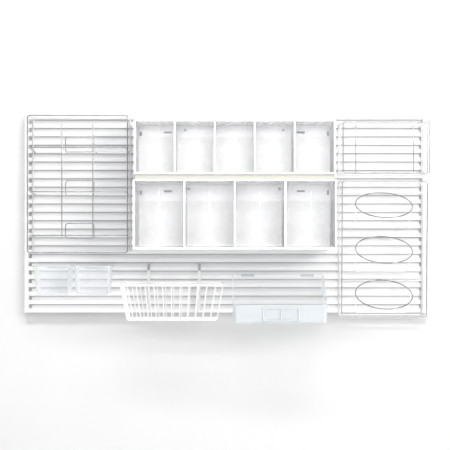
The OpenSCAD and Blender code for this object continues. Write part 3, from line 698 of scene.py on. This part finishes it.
def build_bin(u, i):
    """A clear tip-out bin: tall front, lower sloping back, sides cut to an arc about the pivot pins."""
    reach = u["tall"] - u["floor"] - ROOF - PIVOT_IN - 0.6
    dz = u["back_dz"]
    back_top = math.sqrt(reach * reach - dz * dz)
    back_low = u["deep"] - UNIT_BACK - PIVOT_IN - 6
    slope = (back_low - back_top) / (dz + WALL_OUT)
    t = BIN_T
    w = cell_w(u) - 1.0
    px, py, ph = cell_x(u, i) + 0.5, HOUSING_Y - u["deep"] + PIVOT_IN, u["h"] + u["floor"] + PIVOT_IN
    inside = t - WALL_OUT
    top_out = (-WALL_OUT, math.sqrt(reach**2 - WALL_OUT**2))
    top_in = (inside, math.sqrt(reach**2 - (WALL_OUT - t) ** 2))
    # The angle about the pins at which the arc meets the inside of the sloping back.
    low, high = 0.0, math.pi / 2
    for _ in range(40):
        mid = (low + high) / 2
        if reach * math.cos(mid) > back_low - t - slope * (reach * math.sin(mid) + WALL_OUT - t):
            low = mid
        else:
            high = mid
    back_in = (reach * math.cos(low), reach * math.sin(low))
    outer_path = rounded([(back_top, dz), (back_low, -WALL_OUT), (-1.5, -WALL_OUT), (-WALL_OUT, -1.5), top_out],
                         [0, 5.0, 2.5, 2.5, 0], 5)
    inner_path = rounded([back_in, (back_low - t, inside), (0.5, inside), (inside, 0.5), top_in],
                         [0, 4.0, 1.6, 1.6, 0], 5)
    m = len(outer_path)
    arcs = 22
    outer = outer_path + arc_points(top_out, (back_top, dz), arcs)[1:-1]
    inner = inner_path + arc_points(top_in, back_in, arcs)[1:-1]
    n = len(outer)
    verts = []
    for x, ring in ((0, outer), (w, outer), (t, inner), (w - t, inner)):
        verts += [(px + x, py + y, ph + h) for y, h in ring]
    # First vertices of the outer left, outer right, inner left and inner right rings.
    ol, orr, il, ir = 0, n, 2 * n, 3 * n
    up, down = range(n), range(n - 1, -1, -1)
    body = []
    side = [tuple(first + k for k in way) for first, way in ((ol, up), (orr, down), (il, down), (ir, up))]
    for k in range(m - 1):
        body.append((ol + k, orr + k, orr + k + 1, ol + k + 1)[::-1])
        body.append((il + k, il + k + 1, ir + k + 1, ir + k)[::-1])
    for k in range(m - 1, n):
        j = (k + 1) % n
        side.append((ol + k, il + k, il + j, ol + j))
        side.append((orr + k, orr + j, ir + j, ir + k))
    body.append((ol + m - 1, orr + m - 1, ir + m - 1, il + m - 1))
    body.append((ol, il, ir, orr))
    s = Shape()
    s.add(verts, body)
    s.faces.extend(side)
    s.slots.extend([1] * len(side))
    pin = [(0, -0.6), (2.0, -0.6), (2.0, 2.1), (1.85, 2.4), (1.6, 2.5), (0, 2.5)]
    for x, d in ((0, -1), (w, 1)):
        lathe(s, (px + x, py, ph), (d, 0, 0), pin, 20)
    sunk = inside - 0.05
    ridge = [(sunk, reach - 12.6), (inside + 1.4, reach - 12), (inside + 1.4, reach - 10.6), (sunk, reach - 10)]
    extrude_x(s, [(py + y, ph + h) for y, h in ridge], px + 6, px + w - 6)
    # A rib down the middle of the bin's back, in the whiter plastic: a painted highlight streak.
    low, high, cut, tip, half = (40, 154, 4, 8, 1.2) if u["tag"] == "lower" else (8, 43, 3, 0.5, 0.6)
    rib = [(sunk, low), (tip, low + cut), (tip, high - cut), (sunk, high)]
    extrude_x(s, [(py + y, ph + h) for y, h in rib], px + w / 2 - half, px + w / 2 + half, 2)
    node = f"{u['tag']}_bin_{i + 1}"
    return s.object(node + "_shell", [BIN_CLEAR, BIN_EDGE, BIN_RIB_PAINTED_HIGHLIGHT], node, (node,), 0.35)


def strap_outline(slat, plate_y, down):
    """Outline of a hook over a slat lip, which runs down by the given length on the room side."""
    top = lip_top(slat) + 0.2
    room, tongue, over = plate_y - HOOK_T / 2, TONGUE_Y + HOOK_T / 2, top + HOOK_T / 2
    return plate([(room, top - down), (room, over), (tongue, over), (tongue, lip_top(slat) - HOOK_DROP)], HOOK_T, 1.0)


# Radius and distance towards the room, from the screw's tip to its slotted head.
LOCK_SCREW = [(0, -7.4), (2, -7.4), (2, 0), (3.6, 0), (3.6, 1.2), (3.1, 1.9), (1.9, 2.3), (1.2, 2.35), (0.9, 1.5),
              (0, 1.5)]


def build_fixings(u):
    """The hook plates, lock screws and lock plates that hold one unit on the slats."""
    tag, inner = u["tag"], HOUSING_Y - UNIT_BACK
    s = Shape()
    for side in (-1, 1):
        for dx, width, down in ((283, 6, 12), (201, 24, 4)):
            x = UNIT_X + side * dx
            extrude_x(s, strap_outline(u["slat"], inner, down), x - width / 2, x + width / 2)
    s.object(tag + "_hook_plates", [ZINC], "panel", (tag + "_hooks",), 0.25)
    s = Shape()
    for side in (-1, 1):
        lathe(s, (UNIT_X + side * u["lock"], inner, lip_top(u["slat"]) + 6), (0, -1, 0), LOCK_SCREW)
    s.object(tag + "_lock_screw_set", [ZINC], "panel", (tag + "_lock_screws",))
    paint_node(tag + "_lock_plates", ZINC, 0.3)


UNIT_PARTS = []
for unit in (UPPER, LOWER):
    UNIT_PARTS.append(build_unit(unit))
    build_fixings(unit)
    for index in range(unit["bins"]):
        UNIT_PARTS.append(build_bin(unit, index))


# ---------------------------------------------------------------- wire racks


TIER_X, TIER_HALF = -435, 45.5
SIDE_LEFT, SIDE_RIGHT, SIDE_X = 342.5, 592.5, 467.5


def build_hooks(name, xs, slats, body):
    """Flat hooks, 6 mm wide, at each place across and on each slat."""
    s = Shape()
    for x in xs:
        for slat in slats:
            extrude_x(s, strap_outline(slat, HUNG_Y, 12), x - 3, x + 3)
    s.object(name + "_bent", [PLATING_PAINTED_BRIGHT_REFLECTION], body, (name,), 0.3)


def rod(a, b, radius=LIGHT_R):
    return [a, b], radius, 12


def frame_loop(left, right, low, high, y, corner, radius=FRAME_R, lean=0):
    """A wire rectangle that faces the room. Its foot can lean back towards the wall."""
    corners = [(left, y + lean, low), (right, y + lean, low), (right, y, high), (left, y, high)]
    return fillet(corners, corner, 6, True), radius, 14 if radius == FRAME_R else 12, True


def wire_piece(name, material, body, node, *runs):
    """One piece of plated wire. A run is a path, a radius, a number of sides and, for a loop, True."""
    s = Shape()
    for run in runs:
        tube(s, *run)
    s.object(name, [material], body, (node,))


def build_tier_rack():
    body = "tier_rack"
    left, right, low, high = -582.0, -288.0, 184.0, 587.0
    front = FACE_Y - 100
    rails = [234.7, 362.6, 493.0]
    backs = [9 * PITCH, 14 * PITCH, 19 * PITCH]
    posts = (TIER_X - TIER_HALF, TIER_X + TIER_HALF)
    wire_piece("tier_front_loop", PLATING_PAINTED_DARK_REFLECTION, body, "tier_front_frame", frame_loop(left, right, low, high, front, 7))
    wire_piece("tier_back_loop", PLATING_PAINTED_BRIGHT_REFLECTION, body, "tier_back_frame", frame_loop(left, right, low, high, FRAME_Y, 7),
               *[rod((left, FRAME_Y, h), (right, FRAME_Y, h)) for h in backs])
    wire_piece("tier_floor_wires", PLATING_PAINTED_BRIGHT_REFLECTION, body, "tier_side_wires",
               *[rod((x, front, h), (x, FRAME_Y, h)) for x in (left, right) for h in (low, high)],
               *[rod((x, front + 1.8, h - 1), (x, FRAME_Y - 1.5, b)) for x in posts for h, b in zip(rails, backs)])
    runs = []
    for h, b in zip(rails, backs):
        x0, x1, end = left + 5.5, right - 5.5, FRAME_Y + 0.3
        path = [(x0, end, b + 2.7), (x0, front, h), (x1, front, h), (x1, end, b + 2.7)]
        runs.append((fillet(path, 6), FRAME_R, 14))
    wire_piece("tier_rails", PLATING_PAINTED_DARK_REFLECTION, body, "tier_front_rails", *runs)
    wire_piece("tier_upright_wires", PLATING_PAINTED_DARK_REFLECTION, body, "tier_uprights",
               *[rod((x, front - 3.0, rails[0] - 1.5), (x, front - 3.0, 560.5)) for x in posts])
    wire_piece("tier_centre_loops", PLATING_PAINTED_DARK_REFLECTION, body, "tier_loops",
               *[frame_loop(TIER_X - 42.4, TIER_X + 42.4, h - 10, h + 35, FACE_Y - 50, 8, LIGHT_R) for h in rails])
    build_hooks("tier_hooks", (left, right), (22, 10), body)


def build_shelf_rack():
    body = "shelf_rack"
    left, right, low, high = SIDE_LEFT, SIDE_RIGHT, 416.5, 564.5
    wire_piece("shelf_back_loop", PLATING_PAINTED_BRIGHT_REFLECTION, body, "shelf_back_frame", frame_loop(left, right, low, high, FRAME_Y, 6))
    wire_piece("shelf_front_loops", PLATING_PAINTED_GREY_REFLECTION, body, "shelf_front_frames",
               *[frame_loop(left, right, low, high, FACE_Y - deep, 5, LIGHT_R) for deep in (98, 138)])
    runs = []
    for x in (left, right):
        runs += [rod((x, FACE_Y - 138, h), (x, FRAME_Y, h)) for h in (low, high)]
        runs.append(rod((x, FACE_Y - 53, low), (x, FACE_Y - 53, high)))
    wire_piece("shelf_side_rods", PLATING_PAINTED_BRIGHT_REFLECTION, body, "shelf_side_wires", *runs)
    wire_piece("shelf_upright_wires", PLATING_PAINTED_GREY_REFLECTION, body, "shelf_uprights",
               *[rod((x, FACE_Y - 98, low), (x, FACE_Y - 98, high)) for x in (SIDE_X - 85, SIDE_X + 85)])
    build_hooks("shelf_hooks", (left, right - 4), (22,), body)


def build_ring_rack():
    body = "ring_rack"
    left, right, low, high = SIDE_LEFT, SIDE_RIGHT, -6.5, 393.5
    front, lean = FACE_Y - 100, 16
    ring_r, tilt = 83.5, math.radians(27)
    mid_y = FRAME_Y - 3.5 - ring_r * math.cos(tilt)
    centres = [60.3 + 132 * i for i in range(3)]
    wire_piece("ring_front_loop", PLATING_PAINTED_GREY_REFLECTION, body, "ring_front_frame",
               frame_loop(left, right, low, high, front, 7, lean=lean))
    runs = [frame_loop(left, right, low, high, FRAME_Y, 7)]
    for i, h in enumerate(centres):
        rise = h + ring_r * math.sin(tilt)
        runs.append(rod((left, FRAME_Y, rise), (right, FRAME_Y, rise), FRAME_R))
        if i:
            runs.append(rod((left, FRAME_Y, h - 66), (right, FRAME_Y, h - 66)))
    wire_piece("ring_back_loop", PLATING_PAINTED_BRIGHT_REFLECTION, body, "ring_back_frame", *runs)
    runs = []
    for x in (left, right):
        runs += [rod((x, front, high), (x, FRAME_Y, high)), rod((x, front + lean, low), (x, FRAME_Y, low))]
    wire_piece("ring_side_rods", PLATING_PAINTED_BRIGHT_REFLECTION, body, "ring_side_wires", *runs)
    for name, h in zip(("ring_bottom", "ring_middle", "ring_top"), centres):
        pts = []
        for k in range(96):
            a = 2 * math.pi * k / 96
            x, y = ring_r * math.cos(a), ring_r * math.sin(a)
            pts.append((SIDE_X + x, mid_y + y * math.cos(tilt), h + y * math.sin(tilt)))
        wire_piece(name + "_wire", PLATING_PAINTED_DARKEST_REFLECTION, body, name, (pts, FRAME_R, 14, True))
    runs = []
    x0, x1, foot_y = SIDE_X - ring_r + 3.1, SIDE_X + ring_r - 3.1, FACE_Y - 27
    for i, h in enumerate(centres):
        foot = h - 66 + (0 if i else 8)
        path = [(x0, mid_y, h), (x0, foot_y, foot), (x1, foot_y, foot), (x1, mid_y, h)]
        runs.append((fillet(path, 8), LIGHT_R, 12))
        if i:
            runs += [rod((x, foot_y, foot), (x, FRAME_Y, foot)) for x in (SIDE_X - 60, SIDE_X + 60)]
    wire_piece("ring_foot_bends", PLATING_PAINTED_BRIGHT_REFLECTION, body, "ring_feet", *runs)
    build_hooks("ring_hooks", (left, right - 4), (15, 2), body)


build_tier_rack()
build_shelf_rack()
build_ring_rack()


# ---------------------------------------------------------------- basket


BASKET_WIRE_R, RIM_R = 1.5, 2.5


def build_basket():
    cx, half, rim_h, low_h = -155.5, 150.5, 93.0, -8.0
    back, front = FACE_Y - 27.5, FACE_Y - 177.5
    low_half, low_front, low_back = half - 22, front + 20, back - 6
    left, right = cx - half + RIM_R, cx + half - RIM_R
    s = Shape()
    rim = [(left, front, rim_h), (right, front, rim_h), (right, back, rim_h), (left, back, rim_h)]
    tube(s, fillet(rim, 9, 6, True), RIM_R, 14, True)
    s.object("basket_rim_loop", [COATED_WIRE], "basket", ("basket_rim",))
    s = Shape()
    top = rim_h - 1.2
    for c in range(-5, 6):
        x, lx = cx + c * PITCH, cx + c * PITCH * low_half / (half - 3)
        path = [(x, front, top), (lx, low_front, low_h), (lx, low_back, low_h), (x, back, top)]
        tube(s, fillet(path, 7, 5), BASKET_WIRE_R, 10)
    s.object("basket_column_wires", [COATED_WIRE], "basket", ("basket_front_wires", "basket_back_wires"))
    s = Shape()
    x0, x1, under = cx - low_half - 1.5, cx + low_half + 1.5, low_h - 2.9
    for k in range(5):
        f = (k + 0.5) / 5
        y, ly = back + (front - back) * f, low_back + (low_front - low_back) * f
        path = [(left, y, top), (x0, ly, under), (x1, ly, under), (right, y, top)]
        tube(s, fillet(path, 7, 5), BASKET_WIRE_R, 10)
    s.object("basket_row_wires", [COATED_WIRE], "basket", ("basket_side_wires", "basket_base_wires"))
    for side, name in ((-1, "hanger_left"), (1, "hanger_right")):
        build_hanger(name, cx + side * 76.2, back, rim_h)


def build_hanger(name, x, rim_y, rim_h):
    """A strap that hooks over a slat, runs down the panel and carries the basket's rim in a split cradle."""
    s = Shape()
    rest = lip_top(5) + 0.2
    y = HUNG_Y - 21
    # The bend over the slat is dark zinc: painted shade where the hook's top sits in shadow at the slot.
    over = [(TONGUE_Y + 0.8, lip_top(5) - HOOK_DROP), (TONGUE_Y + 0.8, rest + 0.8), (HUNG_Y - 0.4, rest + 0.8)]
    extrude_x(s, plate(over, HOOK_T, 0.9), x - 4, x + 4, 1)
    strap = [(HUNG_Y - 1, rest + 0.1), (HUNG_Y - 1, rest + 9.4), (y, rest - 13.2), (y, 7), (HUNG_Y, 7)]
    extrude_x(s, plate(strap, 2, 2.2), x - 4, x + 4)
    # The strap's top, above rest - 3, also takes the dark zinc as painted shade at the slot.
    for n, f in enumerate(s.faces):
        if len(f) == 4 and sum(s.verts[q][2] for q in f) / 4 > rest - 3:
            s.slots[n] = 1
    seat, behind = rim_h - 2.6, rim_y - RIM_R - 1.4
    cradle = [(y - 0.9, seat - 1), (behind, seat - 1), (behind, seat + 6)]
    for low, high in ((x - 4, x - 1.9), (x + 1.9, x + 4)):
        extrude_x(s, plate(cradle, 2, 1.2), low, high)
    s.object(name + "_strap", [STRAP, ZINC], "basket", (name,), 0.5)


build_basket()


# ---------------------------------------------------------------- frosted bins and box


def ring_xy(x0, x1, y0, y1, r_front, r_back, side=14):
    """A rounded rectangle seen from above with a fixed number of points, front left corner first, anticlockwise."""
    out = []
    steps = 6
    corners = [(x0 + r_front, y0 + r_front, r_front, 180), (x1 - r_front, y0 + r_front, r_front, 270),
               (x1 - r_back, y1 - r_back, r_back, 0), (x0 + r_back, y1 - r_back, r_back, 90)]
    for n, (cx, cy, r, start) in enumerate(corners):
        for k in range(steps + 1):
            a = math.radians(start + 90 * k / steps)
            out.append((cx + r * math.cos(a), cy + r * math.sin(a)))
        last = out[-1]
        ncx, ncy, nr, na = corners[(n + 1) % 4]
        first = (ncx + nr * math.cos(math.radians(na)), ncy + nr * math.sin(math.radians(na)))
        for k in range(1, side):
            f = k / side
            out.append((last[0] + (first[0] - last[0]) * f, last[1] + (first[1] - last[1]) * f))
    return out


def loft(shape, rings, slot):
    """Skins between rings of equal length. The first and last are closed with a face."""
    n = len(rings[0])
    faces = []
    for i in range(len(rings) - 1):
        for k in range(n):
            m = (k + 1) % n
            faces.append((i * n + k, i * n + m, (i + 1) * n + m, (i + 1) * n + k))
    faces.append(tuple(range(n - 1, -1, -1)))
    faces.append(tuple((len(rings) - 1) * n + k for k in range(n)))
    shape.add([p for ring in rings for p in ring], faces, slot)


def build_small_bin(name, x):
    back = HUNG_Y
    rim_h, low_h, wall, rim = 144.5, 59.0, 2.0, 3.0
    x0, x1, y0, y1 = x - 53, x + 53, back - 92, back

    def level(h, grow=0.0, inner=0.0):
        """The bin's outline at a height, grown outwards or set in by so much. It tapers towards its foot."""
        f = (h - low_h) / (rim_h - low_h)
        out_x, out_y = grow - inner - 5 * (1 - f), grow - inner - 9 * (1 - f)
        ring = ring_xy(x0 - out_x, x1 + out_x, y0 - out_y, y1 - inner, max(11 + grow - inner, 1), max(4 - inner, 0.8))
        return [(px, py, h) for px, py in ring]

    rings = [level(low_h, -3.0), level(low_h + 0.35, -1.4), level(low_h + 1.2, -0.4), level(low_h + 3)]
    rings += [level(low_h + 3 + (rim_h - 7.5 - low_h) * k / 4) for k in range(1, 5)]
    rings += [level(rim_h - 4.0, 0.3), level(rim_h - 3.4, rim - 0.3), level(rim_h - 2.8, rim),
              level(rim_h - 0.7, rim), level(rim_h, rim - 0.7)]
    rings += [level(rim_h, 0, wall - 0.7), level(rim_h - 0.6, 0, wall)]
    rings += [level(rim_h - 4 - (rim_h - 9 - low_h) * k / 4, 0, wall) for k in range(5)]
    rings += [level(low_h + 3.2, 0, wall + 1.2), level(low_h + 2.2, 0, wall + 4)]
    s = Shape()
    loft(s, rings, 1)
    per = len(rings[0])
    for row in (0, 1, 2, *range(8, 14)):  # the foot and the rim are thicker, so milkier
        s.slots[row * per:(row + 1) * per] = [0] * per
    extrude_x(s, strap_outline(5, back, 6), x - 30, x + 30)
    s.object(name + "_shell", [FROST, FROST_LIGHT], name, (name,))


BOX_X, BOX_W, BOX_DEEP = 157.0, 274.0, 166.0
BOX_FRONT = HUNG_Y - BOX_DEEP


def build_storage_box():
    back, front = HUNG_Y, BOX_FRONT
    low_h, front_top, top_h, wall = -18.0, 35.0, lip_top(4) + 1.8, 2.4
    knee = back - 45
    x0, x1 = BOX_X - BOX_W / 2, BOX_X + BOX_W / 2

    def top_at(y):
        if y >= knee:
            return top_h
        return front_top + (top_h - front_top) * (y - front) / (knee - front)

    def level(f, grow=0.0, inner=0.0):
        """The box's outline at a part of its height, which falls towards the front, set in by so much."""
        in_x, in_y = 2.2 * (1 - f) + grow + inner, 3.0 * (1 - f) + grow + inner
        ring = ring_xy(x0 + in_x, x1 - in_x, front + in_y, back - inner,
                       max(13 - grow - inner, 1), max(6 - inner, 0.8), 30)
        return [(px, py, low_h + (top_at(py) - low_h) * f) for px, py in ring]

    def flat(f, grow, inner, h):
        return [(px, py, h) for px, py, _ in level(f, grow, inner)]

    rings = [flat(0, 3.2, 0, low_h), flat(0, 1.4, 0, low_h + 0.5), flat(0.01, 0.3, 0, low_h + 1.6)]
    rings += [level(f) for f in (0.06, 0.3, 0.6, 0.9)]
    rings += [level(0.985), level(1.0, 0.6)]
    rings += [level(1.0, 0, wall - 0.6), level(0.985, 0, wall)]
    rings += [level(f, 0, wall) for f in (0.9, 0.6, 0.3, 0.07)]
    rings += [flat(0.03, 0, wall + 1.2, low_h + wall + 1.4), flat(0.02, 0, wall + 4, low_h + wall)]
    s = Shape()
    loft(s, rings, 0)
    for n, f in enumerate(s.faces):
        mid_y = sum(s.verts[q][1] for q in f) / len(f)
        if mid_y > front + 16 and len(f) == 4:
            s.slots[n] = 1
    for side in (-1, 1):
        x = BOX_X + side * 90
        extrude_x(s, strap_outline(4, back, 6), x - 20, x + 20)
    s.object("storage_box_shell", [FROST, FROST_THIN], "storage_box", ("storage_box",))


def build_label_holder():
    """A frame with two windows on the front of the storage box."""
    mid, half_w, half_h, r = BOX_X + 3, 53, 18.5, 3.5
    xs = [mid - half_w, mid - half_w + r, mid - r / 2, mid + r / 2, mid + half_w - r, mid + half_w]
    zs = [8 - half_h, 8 - half_h + r, 8 + half_h - r, 8 + half_h]
    g = Grid(xs, zs, {"near": BOX_FRONT - 1.8, "far": BOX_FRONT + 3.2})
    for i in range(5):
        for k in range(3):
            quad = [(i, k), (i + 1, k), (i + 1, k + 1), (i, k + 1)]
            if i in (1, 3) and k == 1:
                for a, b in zip(quad, quad[1:] + quad[:1]):
                    g.quad(("far", *b), ("far", *a), ("near", *a), ("near", *b))
                continue
            g.quad(*[("near", *c) for c in quad])
            g.quad(*[("far", *c) for c in quad[:1] + quad[:0:-1]])
    edge = [(i, 0) for i in range(5)] + [(5, k) for k in range(3)]
    edge += [(i, 3) for i in range(5, 0, -1)] + [(0, k) for k in range(3, 0, -1)]
    for a, b in zip(edge, edge[1:] + edge[:1]):
        g.quad(("near", *b), ("near", *a), ("far", *a), ("far", *b))
    s = Shape()
    s.add(g.verts, g.faces)
    s.object("label_holder", [LABEL], "storage_box", ("label_frame",), 0.5)


build_small_bin("small_bin_left", -512.5)
build_small_bin("small_bin_right", -394.5)
build_storage_box()
build_label_holder()


# ---------------------------------------------------------------- stage, lights, camera


def stage_plane(name, corners, material):
    mesh = bpy.data.meshes.new(name)
    mesh.from_pydata(corners, [], [(0, 1, 2, 3)])
    mesh.materials.append(material)
    obj = bpy.data.objects.new(name, mesh)
    bpy.context.scene.collection.objects.link(obj)
    return obj


def plaster(name, one_sided):
    m, t, b = new_material(name)
    v = coords(t)
    t.links.new(mix(t, noise(t, v, 3, 4), (0.62, 0.62, 0.62), (0.635, 0.635, 0.635)), b.inputs["Base Color"])
    b.inputs["Roughness"].default_value = 0.9
    b.inputs["Specular IOR Level"].default_value = 0.1
    bump(t, b, noise(t, v, 160, 4), 0.06, 0.0005)
    if one_sided:
        out = next(n for n in t.nodes if n.type == "OUTPUT_MATERIAL")
        see = t.nodes.new("ShaderNodeBsdfTransparent")
        geo = t.nodes.new("ShaderNodeNewGeometry")
        path = t.nodes.new("ShaderNodeLightPath")
        either = math_node(t, "MAXIMUM", geo.outputs["Backfacing"], path.outputs["Is Shadow Ray"])
        mixer = t.nodes.new("ShaderNodeMixShader")
        t.links.new(either, mixer.inputs["Fac"])
        t.links.new(b.outputs["BSDF"], mixer.inputs[1])
        t.links.new(see.outputs["BSDF"], mixer.inputs[2])
        t.links.new(mixer.outputs["Shader"], out.inputs["Surface"])
    return m


FLOOR_Z = -0.93
WALL_Y = 0.002
WALL_CORNERS = [(-3, WALL_Y, FLOOR_Z), (3, WALL_Y, FLOOR_Z), (3, WALL_Y, 2.2), (-3, WALL_Y, 2.2)]
FLOOR_CORNERS = [(-6, -6, FLOOR_Z), (6, -6, FLOOR_Z), (6, 6, FLOOR_Z), (-6, 6, FLOOR_Z)]
STAGE = [
    stage_plane("wall_backdrop", WALL_CORNERS, plaster("wall_plaster", True)),
    stage_plane("floor_plane", FLOOR_CORNERS, plaster("floor_pale", False)),
]


def area_light(name, place, target, size, power, colour):
    data = bpy.data.lights.new(name, "AREA")
    data.shape = "RECTANGLE"
    data.size, data.size_y = size
    data.energy = power
    data.color = colour
    obj = bpy.data.objects.new(name, data)
    obj.location = place
    direction = Vector(target) - Vector(place)
    obj.rotation_euler = direction.to_track_quat("-Z", "Y").to_euler()
    bpy.context.scene.collection.objects.link(obj)
    return obj


def light_only(light, name, objects):
    """Lets a light fall on nothing but the given objects."""
    receivers = bpy.data.collections.new(name)
    for obj in objects:
        receivers.objects.link(obj)
    light.light_linking.receiver_collection = receivers
    return receivers


AIM = (0, 0, -0.1)
BIN_AIM = (0, 0, 0.05)
WHITE = (1.0, 1.0, 1.0)
area_light("key_softbox", (2.3, -2.8, 1.0), AIM, (1.0, 1.0), 54, (1.0, 0.985, 0.965))
area_light("top_softbox", (0.3, -2.3, 2.7), AIM, (3.0, 1.6), 50, WHITE)
front_light = area_light("front_softbox", (-0.4, -5.0, 0.6), AIM, (3.4, 3.0), 40, (0.98, 0.99, 1.0))
area_light("rear_softbox", (1.4, 2.8, 1.4), (0, 0, 0), (1.8, 1.8), 45, WHITE)
# The photograph is much brighter inside the bins and on the wall than one common light gives.
bin_light = area_light("bin_softbox", (0.3, -4.5, 1.2), BIN_AIM, (2.8, 2.6), 182, WHITE)
bin_fill = area_light("bin_fill_softbox", (-0.9, -4.4, 0.9), BIN_AIM, (1.6, 1.6), 34, WHITE)
wall_light = area_light("wall_softbox", (-0.1, -2.15, 2.75), (0, 0, -0.3), (3.0, 0.45), 112, WHITE)
for light in (front_light, bin_light, bin_fill, wall_light):
    light.visible_glossy = False
bin_fill.light_linking.receiver_collection = light_only(bin_light, "lit_by_bin_softbox", UNIT_PARTS)
light_only(wall_light, "lit_by_wall_softbox", STAGE)

world = bpy.data.worlds.new("studio")
bpy.context.scene.world = world
world.use_nodes = True
wt = world.node_tree
sky = next(n for n in wt.nodes if n.type == "BACKGROUND")
where = wt.nodes.new("ShaderNodeTexCoord")
split = wt.nodes.new("ShaderNodeSeparateXYZ")
wt.links.new(where.outputs["Generated"], split.inputs["Vector"])
towards_wall = remap(wt, split.outputs["Y"], 0.0, 1.0, -1.0, 1.0)
wt.links.new(ramp(wt, towards_wall, [(0.05, (0.34, 0.345, 0.36)), (0.55, WHITE)]), sky.inputs["Color"])
sky.inputs["Strength"].default_value = 0.84

CAMERA_X, CAMERA_AWAY, CAMERA_H = -0.0018, 3.3, 265
camera = bpy.data.cameras.new("camera")
camera.lens = 87.17
camera.sensor_width = 36
camera.clip_end = 100
cam = bpy.data.objects.new("camera", camera)
cam.location = (CAMERA_X, FACE_Y / 1000 - CAMERA_AWAY, (CAMERA_H - MID) / 1000)
cam.rotation_euler = (math.radians(90), 0, 0)
scene = bpy.context.scene
scene.collection.objects.link(cam)
scene.camera = cam
scene.view_settings.view_transform = "Standard"
scene.view_settings.look = "None"
scene.view_settings.exposure = 0.0
scene.view_settings.gamma = 1.0
